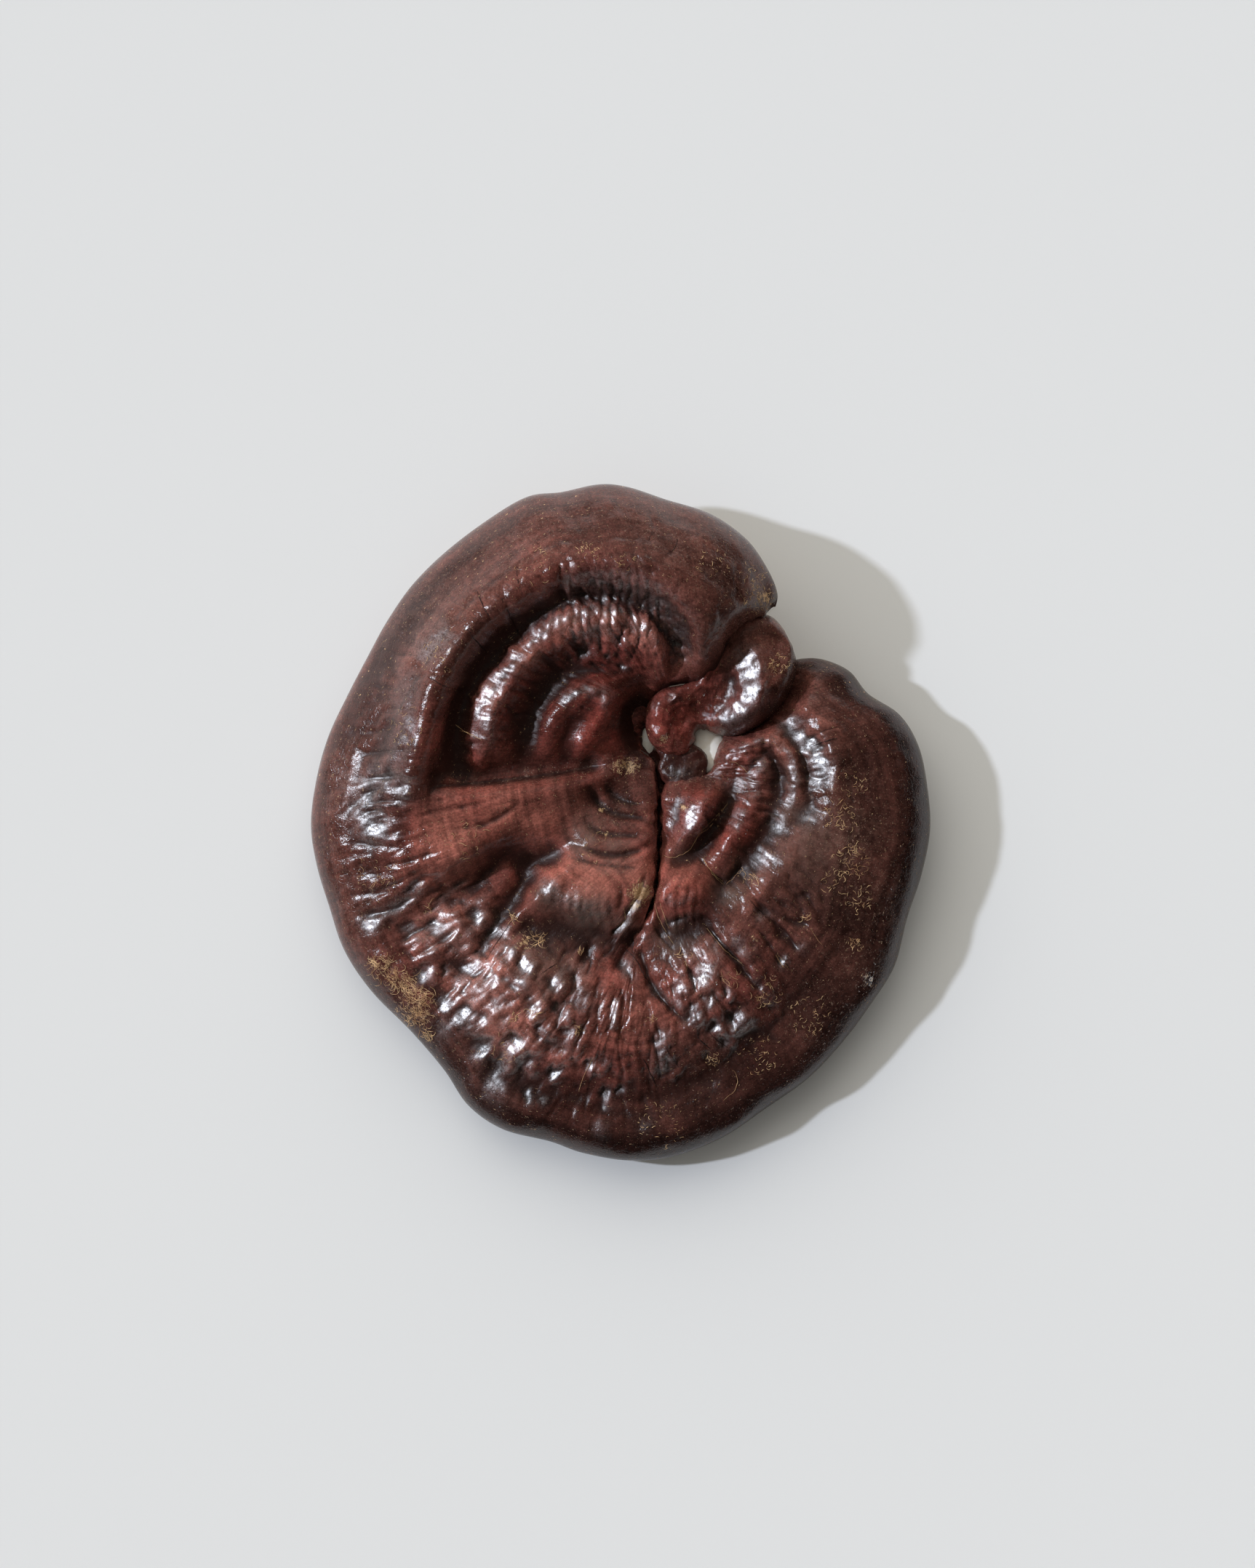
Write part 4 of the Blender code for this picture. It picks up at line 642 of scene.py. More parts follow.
class Surface:
    """A smooth height field through all points of some height lines."""

    LINE_STEP = 3.2
    BATCH = 2000

    def __init__(self, groups, softness):
        rows = []
        for group in groups:
            for line in group.values():
                rows.append(self.line_points(line))
        points = np.vstack(rows)
        self.places = points[:, :2]
        self.softness = softness
        self.mean = points[:, 2].mean()
        self.weights = np.linalg.solve(self.kernel(self.places), points[:, 2] - self.mean)

    def line_points(self, line):
        line = np.asarray(line, float)
        length = np.linalg.norm(np.diff(line[:, :2], axis=0), axis=1).sum()
        count = max(2, int(round(length / self.LINE_STEP)) + 1)
        return spline(line, np.linspace(0, len(line) - 1, count))

    def kernel(self, places):
        across_x = places[:, None, 0] - self.places[None, :, 0]
        across_y = places[:, None, 1] - self.places[None, :, 1]
        return np.sqrt(across_x ** 2 + across_y ** 2 + self.softness ** 2)

    def height(self, places):
        batches = np.array_split(places, len(places) // self.BATCH + 1)
        return self.mean + np.concatenate([self.kernel(batch) @ self.weights for batch in batches])


def stroke(places, line, depth, half_width):
    """Depth of one crease: full along the middle of its line, none at its ends."""
    pieces = 10
    line = spline(line, np.linspace(0, len(line) - 1, pieces + 1))
    found = np.zeros(len(places))
    reach = 3 * half_width
    near = np.all((places > line.min(axis=0) - reach) & (places < line.max(axis=0) + reach), axis=1)
    places = places[near]
    nearest = np.full(len(places), np.inf)
    run = np.zeros(len(places))
    for number, (start, end) in enumerate(zip(line[:-1], line[1:])):
        step = end - start
        share = np.clip((places - start) @ step / (step @ step), 0, 1)
        offset = ((places - start - share[:, None] * step) ** 2).sum(axis=1)
        run = np.where(offset < nearest, number + share, run)
        nearest = np.minimum(nearest, offset)
    taper = np.sin(math.pi * run / pieces) ** 0.5
    found[near] = depth * taper * np.exp(-nearest / half_width ** 2)
    return found


def spots(places, table):
    """How much of a finish each place has, from round spots that fade outwards."""
    amount = np.zeros(len(places))
    for x, y, radius, strength in table:
        far = (places[:, 0] - x) ** 2 + (places[:, 1] - y) ** 2
        amount = np.maximum(amount, strength * np.exp(-far / radius ** 2))
    return np.clip(amount, 0, 1)


def wavy(points, size, seed):
    """Smooth noise of about that size over the points, from -1 to 1."""
    shifted = points / size + seed * 17.31
    return np.array([noise.noise(spot) for spot in shifted.tolist()])


def layered(points, layers):
    return sum(height * wavy(points, size, seed) for height, size, seed in layers)


def creased(points, size, seed):
    """Noise with round backs and sharp valleys, from -1 to 1."""
    return 1.0 - 2.0 * np.exp(-np.abs(wavy(points, size, seed)) * 6)


def roundness(distance, radius):
    """Rise of a quarter ellipse: 0 at the edge, 1 from radius inwards."""
    inside = 1 - np.minimum(distance / radius, 1)
    return np.sqrt(np.clip(1 - inside ** 2, 0, 1))


class Form:
    """A grown form: sections from its margin to its inner edge, given round its length."""

    RIM_SHARE = 0.16
    INNER_SHARE = 0.08
    MOST_ROUNDING = 0.45

    def __init__(self, shape, top, under, rings, segments, top_share, even=None):
        self.rings = rings
        self.segments = segments
        along = np.linspace(0, 1, rings + 1)
        if even is not None:
            density = keyed(even, along)
            total = np.concatenate(([0], np.cumsum((density[1:] + density[:-1]) / 2)))
            along = np.interp(np.linspace(0, total[-1], rings + 1), total, along)
        around = np.arange(segments) / segments
        along, around = (values.ravel() for values in np.meshgrid(along, around, indexing="ij"))
        self.station = along * (len(shape["margin"]) - 1)
        margin = spline(shape["margin"], self.station)
        inner = spline(shape["inner"], self.station)
        self.length = np.maximum(np.linalg.norm(margin - inner, axis=1), 0.001)
        rim = keyed(shape["rim radius"], self.station)
        edge = keyed(shape["inner radius"], self.station)
        self.on_top = around < top_share
        self.share = np.where(self.on_top, around / top_share, (1 - around) / (1 - top_share))
        self.distance = self.across(rim, edge)
        part = self.distance / self.length
        self.place = margin + (inner - margin) * part[:, None]
        middle = keyed(shape["rim height"], self.station)
        middle = middle + (keyed(shape["inner height"], self.station) - middle) * part ** 2 * (3 - 2 * part)
        inner_rise = roundness(self.length - self.distance, edge)
        rise = roundness(self.distance, rim) * inner_rise
        self.fall = roundness(self.distance, shape["under rim"]) * inner_rise
        upper = middle + (top(self.place) - middle) * rise
        lower = middle - (middle - under.height(self.place)) * self.fall
        self.height = np.where(self.on_top, upper, lower)

    def across(self, rim, edge):
        rim = np.minimum(rim, self.MOST_ROUNDING * self.length)
        edge = np.minimum(edge, self.MOST_ROUNDING * self.length)
        quarter = math.pi / 2
        at_rim = rim * (1 - np.cos(quarter * np.clip(self.share / self.RIM_SHARE, 0, 1)))
        at_inner = 1 - np.cos(quarter * np.clip((1 - self.share) / self.INNER_SHARE, 0, 1))
        at_inner = self.length - edge * at_inner
        middle_share = 1 - self.RIM_SHARE - self.INNER_SHARE
        between = rim + (self.length - rim - edge) * (self.share - self.RIM_SHARE) / middle_share
        outside = self.share < self.RIM_SHARE
        return np.where(outside, at_rim, np.where(self.share > 1 - self.INNER_SHARE, at_inner, between))

    def grid(self, values):
        return values.reshape(self.rings + 1, self.segments, *values.shape[1:])

    def points(self):
        return np.column_stack((self.place, self.height))

    def normals(self):
        """Unit normals of the section grid, pointing out of the form."""
        spots_grid = self.grid(self.points())
        lengthwise = np.gradient(spots_grid, axis=0)
        round_it = np.roll(spots_grid, -1, axis=1) - np.roll(spots_grid, 1, axis=1)
        normal = np.cross(lengthwise, round_it).reshape(-1, 3)
        size = np.linalg.norm(normal, axis=1)
        normal = normal / np.maximum(size, 1e-9)[:, None]
        outward = np.sign((normal[:, 2] * np.where(self.on_top, 1, -1)).sum())
        return normal * outward

    def raise_by(self, relief):
        """Move the points out along the normals by the relief, in millimetres."""
        moved = self.points() + self.normals() * relief[:, None]
        self.place = moved[:, :2]
        self.height = moved[:, 2]

    def blurred(self, values, rounds):
        field = self.grid(values)
        for _ in range(rounds):
            padded = np.vstack((field[:1], field, field[-1:]))
            field = (padded[:-2] + padded[2:] + 2 * field) / 4
            field = (np.roll(field, 1, axis=1) + np.roll(field, -1, axis=1) + 2 * field) / 4
        return field.ravel()


def wandered(places):
    """Places moved about a little, so that what is drawn round them gets a ragged outline."""
    points = np.column_stack((places, np.zeros(len(places))))
    return places + np.column_stack((layered(points, WANDERING_ACROSS), layered(points, WANDERING_UP)))


def small_faces():
    """The grainy places, those along lines as rows of round ones: x, y, radius, strength."""
    faces = list(SHEEN_SPOTS)
    for line, strength, half_width in SHEEN_LINES:
        points = spline(line, np.linspace(0, len(line) - 1, LINE_POINTS))
        run = np.concatenate(([0], np.cumsum(np.linalg.norm(np.diff(points, axis=0), axis=1))))
        at = np.linspace(0, run[-1], max(2, int(run[-1] / half_width)))
        x = np.interp(at, run, points[:, 0])
        y = np.interp(at, run, points[:, 1])
        lengthwise = np.abs(np.gradient(y)) / np.hypot(np.gradient(x), np.gradient(y))
        strengths = strength * smooth_step(*FACED_LINES, lengthwise)
        faces.extend(zip(x, y, [half_width * FACE_SPREAD] * len(at), strengths))
    return np.array(faces)


def leaning(height):
    """The height with the grainy places laid as small faces that lean to the left."""
    faces = small_faces()
    middles = height(faces[:, :2])

    def leaned(places):
        ground = height(places)
        wandering = wandered(places)
        added = np.zeros(len(places))
        total = np.zeros(len(places))
        for (x, y, radius, strength), middle in zip(faces, middles):
            offset = places - (x, y)
            far = ((wandering - (x, y)) ** 2).sum(axis=1) / radius ** 2
            near = far < FACE_REACH
            weight = strength * np.exp(-far[near] ** 2)
            face = middle + offset[near] @ FACE_SLOPE
            added[near] += weight * np.clip(face - ground[near], -MOST_LEAN, MOST_LEAN)
            total[near] += weight
        return ground + added / np.maximum(total, 1)
    return leaned


def cap_ground(top):
    """Height of the cap's top before its edges are rounded, creases included."""
    leaned = leaning(top.height)

    def height(places):
        ground = leaned(places)
        for line, depth, half_width in CREASES + GROOVES:
            ground = ground - stroke(places, line, depth, half_width)
        return ground
    return height


def deselect_all():
    bpy.ops.object.select_all(action="DESELECT")


def mesh_values(collection, name):
    """Three numbers for each point of a mesh, as rows."""
    values = np.empty(len(collection) * 3)
    collection.foreach_get(name, values)
    return values.reshape(-1, 3)


def place_points(mesh, points):
    """Move the points of a mesh to places in millimetres."""
    mesh.vertices.foreach_set("co", (points * MM).ravel())
    mesh.update()


def write_form(name, form):
    """Add a sphere and lay its points on the form's section grid."""
    deselect_all()
    bpy.ops.mesh.primitive_uv_sphere_add(segments=form.segments, ring_count=form.rings, radius=1)
    piece = bpy.context.object
    piece.name = name
    piece.data.name = name
    ball = mesh_values(piece.data.vertices, "co")
    ring = np.rint(np.arccos(np.clip(ball[:, 2], -1, 1)) / math.pi * form.rings).astype(int)
    turn = np.arctan2(ball[:, 1], ball[:, 0]) / (2 * math.pi) % 1
    turn = turn - turn[ring == 1].min()
    segment = np.rint(turn * form.segments).astype(int) % form.segments
    row = ring * form.segments + segment
    place_points(piece.data, form.points()[row])
    face_outwards(piece)
    bpy.ops.object.shade_smooth()
    return piece, row


def face_outwards(piece):
    bpy.context.view_layer.objects.active = piece
    bpy.ops.object.mode_set(mode="EDIT")
    bpy.ops.mesh.select_all(action="SELECT")
    bpy.ops.mesh.normals_make_consistent(inside=False)
    bpy.ops.object.mode_set(mode="OBJECT")


def write_attribute(piece, name, values):
    """Keep three values a point, for the materials to read."""
    attribute = piece.data.attributes.new(name, "FLOAT_VECTOR", "POINT")
    attribute.data.foreach_set("vector", np.ascontiguousarray(values, dtype=np.float32).ravel())


def join_parts(parts, name):
    deselect_all()
    for part in parts:
        part.select_set(True)
    bpy.context.view_layer.objects.active = parts[0]
    bpy.ops.object.join()
    piece = bpy.context.object
    piece.name = name
    piece.data.name = name
    return piece


def apply_modifier(piece, kind, **settings):
    modifier = piece.modifiers.new(kind.lower(), kind)
    for name, value in settings.items():
        setattr(modifier, name, value)
    bpy.ops.object.modifier_apply(modifier=modifier.name)


def finish_piece(piece, material):
    piece.data.materials.clear()
    piece.data.materials.append(material)
    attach(piece, BODY)
    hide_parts(NODE)


class Nodes:
    """Adds shader nodes to a tree and links them."""

    def __init__(self, tree):
        self.tree = tree

    def add(self, kind, inputs=None, **settings):
        node = self.tree.nodes.new(kind)
        for name, value in settings.items():
            setattr(node, name, value)
        for name, value in (inputs or {}).items():
            self.put(node.inputs[name], value)
        return node

    def put(self, socket, value):
        if isinstance(value, bpy.types.NodeSocket):
            self.tree.links.new(value, socket)
        else:
            socket.default_value = value

    def attribute(self, name):
        return self.add("ShaderNodeAttribute", attribute_name=name)

    def split(self, vector):
        return self.add("ShaderNodeSeparateXYZ", {"Vector": vector}).outputs

    def join(self, x, y, z):
        return self.add("ShaderNodeCombineXYZ", {"X": x, "Y": y, "Z": z}).outputs[0]

    def math(self, operation, first, second=0.0, clamp=False):
        node = self.add("ShaderNodeMath", operation=operation, use_clamp=clamp)
        self.put(node.inputs[0], first)
        self.put(node.inputs[1], second)
        return node.outputs[0]

    def plus(self, first, second):
        return self.math("ADD", first, second)

    def times(self, first, second, clamp=False):
        return self.math("MULTIPLY", first, second, clamp)

    def noise(self, vector, scale, detail=2.0, roughness=0.5, distortion=0.0):
        inputs = {"Vector": vector, "Scale": scale, "Detail": detail, "Roughness": roughness,
                  "Distortion": distortion}
        return self.add("ShaderNodeTexNoise", inputs).outputs["Fac"]

    def between(self, value, low, high, to_low=0.0, to_high=1.0):
        inputs = {"Value": value, "From Min": low, "From Max": high, "To Min": to_low, "To Max": to_high}
        return self.add("ShaderNodeMapRange", inputs, interpolation_type="SMOOTHSTEP").outputs["Result"]

    def mix(self, share, first, second, blend="MIX"):
        node = self.add("ShaderNodeMix", data_type="RGBA", blend_type=blend)
        sockets = {socket.identifier: socket for socket in node.inputs}
        self.put(sockets["Factor_Float"], share)
        self.put(sockets["A_Color"], first)
        self.put(sockets["B_Color"], second)
        return next(socket for socket in node.outputs if socket.identifier == "Result_Color")

    def shaded(self, colour, shade):
        return self.mix(1.0, colour, self.join(shade, shade, shade), "MULTIPLY")


# Materials

def crust_marks(nodes, dusty):
    """The noises and masks that the crust's colour, gloss and relief share."""
    spot = nodes.add("ShaderNodeTexCoord").outputs["Object"]
    along, across, sheen = nodes.split(nodes.attribute("growth").outputs["Vector"])
    red, rim, hollow = nodes.split(nodes.attribute("tint").outputs["Vector"])
    worn, dusted, bloomed = nodes.split(nodes.attribute("wear").outputs["Vector"])
    radial = nodes.join(along, nodes.times(across, 0.12), 0.0)
    zones = nodes.join(nodes.times(along, 0.03), across, 0.0)
    shreds = nodes.join(nodes.times(along, 0.35), nodes.times(across, 2.0), 0.0)
    marks = SimpleNamespace(sheen=sheen, red=red, rim=rim, hollow=hollow)
    marks.mottle = nodes.noise(spot, *MOTTLE)
    marks.fine = nodes.noise(spot, *FINE)
    marks.grain = nodes.noise(spot, *GRAIN)
    marks.fibre = nodes.noise(radial, *FIBRE)
    marks.zone = nodes.noise(zones, *ZONE)
    fold = nodes.math("SUBTRACT", nodes.noise(spot, *RIDGE), 0.5)
    marks.ridge = nodes.between(nodes.math("ABSOLUTE", fold), 0.0, 0.05)
    marks.bloom = nodes.times(bloomed, nodes.between(marks.fine, 0.3, 0.62, 0.45, 1.0), clamp=True)
    stray = nodes.between(nodes.noise(spot, *STRAY_DUST), 0.72, 0.76, 0.0, 0.7)
    marks.stray = nodes.times(stray, dusty, clamp=True)
    speck = nodes.between(nodes.noise(spot, *DUST_SPECK), 0.60, 0.68)
    haze = nodes.between(marks.fine, 0.42, 0.66, 0.0, 0.16)
    dust = nodes.times(nodes.math("MAXIMUM", speck, haze), dusted)
    marks.dust = nodes.times(dust, dusty, clamp=True)
    torn = nodes.plus(nodes.noise(shreds, *TORN_SHRED), nodes.noise(spot, *TORN_CHIP))
    torn = nodes.times(nodes.math("SUBTRACT", torn, 1.0), 2.4)
    marks.bare = nodes.between(nodes.plus(worn, torn), 0.46, 0.56)
    return marks


def crust_colour(nodes, marks, colours):
    """Red-brown lacquer with its zones, bloom, dust and torn places, painted shade in the folds, painted
    light on the raised places, and the rim's dark and tawny lacquer, partly painted shade and light.
    """
    red_share = nodes.times(marks.red, nodes.between(marks.mottle, 0.3, 0.62, 0.55, 1.0), clamp=True)
    colour = nodes.mix(red_share, colours["brown"], colours["red"])
    # The rim mask darkens to the rim colour (new lacquer, partly painted shade) and, where negative,
    # lightens to tawny (partly painted light)
    colour = nodes.mix(nodes.times(marks.rim, 0.9, clamp=True), colour, colours["rim"])
    colour = nodes.mix(nodes.times(marks.rim, -1.0, clamp=True), colour, colours["tawny"])
    zoned = nodes.between(marks.zone, 0.32, 0.66, 0.62, 1.2)
    shade = nodes.plus(zoned, nodes.between(marks.fibre, 0.3, 0.7, -0.14, 0.14))
    shade = nodes.times(shade, nodes.between(marks.mottle, 0.28, 0.7, 0.8, 1.16))
    shade = nodes.times(shade, nodes.between(marks.grain, 0.3, 0.7, 0.72, 1.28))
    shade = nodes.times(shade, nodes.between(marks.fine, 0.3, 0.7, 0.8, 1.2))
    colour = nodes.shaded(colour, shade)
    colour = nodes.mix(marks.bloom, colour, colours["bloom"])
    # Painted light on the raised places and painted shade in the folds, from the hollow mask
    colour = nodes.shaded(colour, nodes.between(marks.hollow, -0.5, 0.1, 1.28, 1.0))
    colour = nodes.mix(nodes.times(marks.hollow, 0.95, clamp=True), colour, colours["hollow"])
    colour = nodes.mix(marks.stray, colour, colours["dust"])
    colour = nodes.mix(marks.dust, colour, colours["dust"])
    flesh = nodes.mix(marks.grain, colours["bare dark"], colours["bare"])
    return nodes.mix(marks.bare, colour, flesh)


def crust_roughness(nodes, marks, gloss):
    """Glossy on the backs, duller in the folds and where it is dusty or bare."""
    rough = nodes.between(marks.mottle, 0.32, 0.68, 0.15, 0.20)
    folds = nodes.math("MAXIMUM", marks.hollow, 0.0)
    matt = nodes.plus(marks.bare, marks.dust)
    rougher = ((marks.sheen, 0.09), (folds, 0.25), (marks.rim, 0.05), (marks.bloom, 0.12), (matt, 0.4))
    for mask, more in rougher:
        rough = nodes.plus(rough, nodes.times(mask, more))
    return nodes.times(rough, gloss, clamp=True)


def crust_height(nodes, marks):
    """Grain, fibres and small ridges, stronger on the grainy places."""
    height = nodes.times(marks.fine, 0.45)
    reliefs = ((marks.grain, 0.4, 0.2), (marks.fibre, 0.5, 0.25), (marks.ridge, 0.3, 0.08))
    for relief, grainy, even in reliefs:
        strength = nodes.plus(nodes.times(marks.sheen, grainy), even)
        height = nodes.plus(height, nodes.times(relief, strength))
    return nodes.plus(height, nodes.times(marks.bare, 0.35))


def crust_sheen(nodes, marks):
    """Flecks of strong gloss on the grainy places."""
    flecked = nodes.between(nodes.plus(marks.grain, marks.fine), 0.86, 1.02, 0.35, 1.0)
    flecked = nodes.times(flecked, nodes.between(marks.fibre, 0.36, 0.54, 0.6, 1.0))
    flecked = nodes.times(flecked, nodes.between(marks.ridge, 0.2, 0.8, 0.4, 1.0))
    return nodes.times(marks.sheen, flecked, clamp=True)


def lacquer_group(colours):
    """Colour, roughness, relief and sheen of the crust, from what its points keep."""
    tree = bpy.data.node_groups.new("lacquered crust", "ShaderNodeTree")
    for name in ("Dust", "Gloss"):
        socket = tree.interface.new_socket(name, in_out="INPUT", socket_type="NodeSocketFloat")
        socket.default_value = 1.0
    tree.interface.new_socket("Colour", in_out="OUTPUT", socket_type="NodeSocketColor")
    for name in ("Roughness", "Height", "Sheen"):
        tree.interface.new_socket(name, in_out="OUTPUT", socket_type="NodeSocketFloat")
    nodes = Nodes(tree)
    given = nodes.add("NodeGroupInput").outputs
    marks = crust_marks(nodes, given["Dust"])
    nodes.add("NodeGroupOutput", {
        "Colour": crust_colour(nodes, marks, colours),
        "Roughness": crust_roughness(nodes, marks, given["Gloss"]),
        "Height": crust_height(nodes, marks),
        "Sheen": crust_sheen(nodes, marks),
    })
    return tree


def chosen_colours(settings):
    names = ("brown", "red", "rim", "tawny", "bloom", "hollow", "dust", "bare", "bare dark")
    return {name: (*getattr(settings, name.replace(" ", "_")), 1.0) for name in names}


def new_material(name):
    """A material with what adds its nodes, and its shader."""
    material = bpy.data.materials.new(name)
    material.use_nodes = True
    return material, Nodes(material.node_tree), material.node_tree.nodes["Principled BSDF"]


def lacquer(name, dust, gloss):
    """Glossy red-brown crust."""
    settings = bpy.context.scene.reishi_colours
    group = bpy.data.node_groups.get("lacquered crust") or lacquer_group(chosen_colours(settings))
    material, nodes, shader = new_material(name)
    look = nodes.add("ShaderNodeGroup", node_tree=group)
    look.inputs["Dust"].default_value = dust
    look.inputs["Gloss"].default_value = gloss
    bumps = {"Height": look.outputs["Height"], "Strength": 1.0, "Distance": CRUST_BUMP}
    nodes.put(shader.inputs["Base Color"], look.outputs["Colour"])
    nodes.put(shader.inputs["Roughness"], look.outputs["Roughness"])
    nodes.put(shader.inputs["Normal"], nodes.add("ShaderNodeBump", bumps).outputs["Normal"])
    nodes.put(shader.inputs["Coat Weight"], look.outputs["Sheen"])
    shader.inputs["IOR"].default_value = LACQUER_IOR
    shader.inputs["Coat Roughness"].default_value = SHEEN_ROUGHNESS
    shader.inputs["Coat IOR"].default_value = SHEEN_IOR
    return material


def pore_layer():
    """Pale, matt layer of fine pores below the cap."""
    settings = bpy.context.scene.reishi_colours
    tones = (settings.pore_pale, settings.pore_tan, settings.pore_brown)
    pale, tan, brown = ((*tone, 1.0) for tone in tones)
    material, nodes, shader = new_material("pore layer")
    spot = nodes.add("ShaderNodeTexCoord").outputs["Object"]
    along, across, _ = nodes.split(nodes.attribute("growth").outputs["Vector"])
    zone = nodes.noise(nodes.join(nodes.times(along, 0.03), across, 0.0), *PORE_ZONE)
    stain = nodes.noise(spot, *PORE_STAIN)
    cells = nodes.add("ShaderNodeTexVoronoi", {"Vector": spot, "Scale": PORE_SCALE, "Randomness": 0.6})
    pore = nodes.between(cells.outputs["Distance"], 0.18, 0.42)
    half_pore = nodes.times(pore, 0.5)
    colour = nodes.mix(nodes.between(zone, 0.3, 0.7), pale, tan)
    colour = nodes.mix(nodes.between(stain, 0.52, 0.75, 0.0, 0.8), colour, brown)
    colour = nodes.mix(nodes.math("SUBTRACT", 0.5, half_pore), colour, brown)
    height = nodes.plus(half_pore, nodes.times(stain, 0.8))
    bumps = {"Height": height, "Strength": 0.8, "Distance": PORE_BUMP}
    nodes.put(shader.inputs["Base Color"], colour)
    nodes.put(shader.inputs["Roughness"], nodes.between(stain, 0.3, 0.7, 0.62, 0.85))
    nodes.put(shader.inputs["Normal"], nodes.add("ShaderNodeBump", bumps).outputs["Normal"])
    return material


# Pieces

def cap_surfaces():
    top = Surface((UPPER_LOBE, LEFT_FAN, FOOT_SIDE, RIGHT_LOBE), 2.6)
    under = Surface((UNDERSIDE,), 8.0)
    return top, under


def puckered(form):
    """Leathery lumps with sharp valleys, stretched a little along the growth."""
    points = form.points()
    warp = np.column_stack([wavy(points, 7.0, seed) for seed in (12, 13, 14)]) * 1.6
    lumps = creased(points + warp, 5.2, 15) * 0.6 + creased(points - warp, 2.9, 16) * 0.34
    return (lumps + 0.5 * wavy(points + warp, 3.4, 17)) * (0.14 + spots(form.place, DENTED))


def radial_wrinkles(form):
    """Short, broken pleats that run from the hilum to the margin."""
    points = form.points()
    bend = layered(points, WRINKLE_BEND)
    coarse = np.column_stack((form.station * 1.7 + bend, form.distance / 9.0, np.zeros(len(points))))
    fine = np.column_stack((form.station * 4.4 + bend * 1.6, form.distance / 6.0, np.ones(len(points))))
    return (creased(coarse, 1.0, 1) * 0.55 + wavy(fine, 1.0, 2) * 0.9) * spots(form.place, WRINKLED)


def pleats(form):
    """Height of narrow pleats that all lean to the left, one flank wide and the other steep."""
    points = form.points()
    phase = np.mod((points[:, 0] + layered(points, PLEAT_BEND)) / PLEAT_WIDTH, 1.0)
    flank = np.minimum(phase / PLEAT_FLANK, (1 - phase) / (1 - PLEAT_FLANK))
    uneven = 0.75 + 0.6 * wavy(points, 3.2, 20)
    return PLEAT_HEIGHT * flank * uneven * spots(form.place, PLEATED)


def crust_relief(form, sizes):
    """Wrinkles, lumps and growth steps raised along the crust's normals, in millimetres."""
    flat = np.zeros(len(form.place))
    growth_rings = np.column_stack((form.distance / 2.6, form.station * 0.5, flat))
    ringed = smooth_step(2, 8, form.distance) * (1 - smooth_step(24, 34, form.distance))
    scallops = np.column_stack((form.station * 1.3, form.distance / 7.0, flat))
    margin_band = 1 - smooth_step(1, 9, form.distance)
    inner_band = 1 - smooth_step(0.6, 3.4, form.length - form.distance)
    relief = sizes.wrinkle_depth / MM * radial_wrinkles(form) + sizes.dent_depth / MM * puckered(form)
    relief = relief * (1 - 0.3 * sheen(form.place)) + pleats(form)
    relief = relief * (0.2 + 0.8 * smooth_step(2.0, 8.0, form.distance))
    relief = relief + sizes.ring_depth / MM * wavy(growth_rings, 1.0, 8) * ringed
    relief = relief + sizes.scallop_depth / MM * wavy(scallops, 1.0, 9) * margin_band
    relief = relief + sizes.scallop_depth / MM * 1.3 * wavy(form.points(), 2.6, 10) * inner_band
    return relief * np.where(form.on_top, smooth_step(0.0, 0.06, form.share), 0.0)


def sunken(form, fine_depth, wide_depth):
    """How deep each place lies below what is round it: 0 on the backs, 1 in the folds."""
    fine = np.clip((form.blurred(form.height, 22) - form.height) / fine_depth, -0.6, 1)
    wide = np.clip((form.blurred(form.height, 160) - form.height) / wide_depth, 0, 1)
    return np.clip(0.75 * fine + 0.75 * wide, -0.5, 1) * form.on_top


def sheen(places):
    """Where the crust is grainy and catches the most light."""
    places = wandered(places)
    amount = spots(places, SHEEN_SPOTS)
    for line, strength, half_width in SHEEN_LINES:
        amount = np.maximum(amount, stroke(places, line, strength, half_width))
    return amount


def keep_growth(piece, row, form, red, rim, hollow, bloom):
    """Keep what the lacquer reads: place in the growth, tint (with the painted shade of the folds) and
    wear.
    """
    plan = form.place
    growth = (form.station * 10.0, form.distance, sheen(plan))
    wear = (spots(plan, BARED), spots(plan, DUSTED), bloom)
    write_attribute(piece, "growth", np.column_stack(growth)[row])
    write_attribute(piece, "tint", np.column_stack((red, rim, hollow))[row])
    write_attribute(piece, "wear", np.column_stack(wear)[row])


def make_crust(sizes):
    top, under = cap_surfaces()
    grid = (sizes.crust_rows, sizes.crust_section, CRUST_TOP_SHARE)
    form = Form(CAP, cap_ground(top), under, *grid, CRUST_DENSITY)
    tucked = np.where(form.on_top, 0.0, smooth_step(4.0, 6.5, form.distance) * sizes.pore_step / MM)
    form.height = form.height + tucked * form.fall
    crack = np.zeros(len(form.place))
    for line, depth, half_width in CRACKS:
        crack = crack + stroke(form.place, line, depth, half_width)
    form.raise_by(crust_relief(form, sizes) - crack * form.on_top)
    form.height = np.maximum(form.height, 0.0)
    piece, row = write_form("cap_crust", form)

    plan = form.place
    # Dark new lacquer along the margin, strongest towards the right and bottom as painted shade away from
    # the light; the darker and paler tables add more, partly painted shade and painted light
    edge = form.distance + wavy(form.points(), 9.0, 11) * 1.5
    shaded = smooth_step(-70, 40, plan[:, 0] - plan[:, 1])
    young_rim_and_shade = (1 - smooth_step(4.5, 8.5, edge)) * (0.3 + 0.7 * shaded)
    rim = np.maximum(young_rim_and_shade, spots(plan, DARKENED_AND_SHADED))
    paled_and_lit = spots(plan, PALED_AND_LIT)
    rim = np.where(rim > paled_and_lit, rim, rim - paled_and_lit)
    # How deep each place lies, for the painted shade in the folds and the painted light on the raised
    # places
    hollow = sunken(form, *CRUST_FOLDS)
    keep_growth(piece, row, form, spots(plan, REDDENED), rim, hollow, spots(plan, BLOOMED))
    finish_piece(piece, lacquer("lacquered crust", dust=1.0, gloss=1.0))


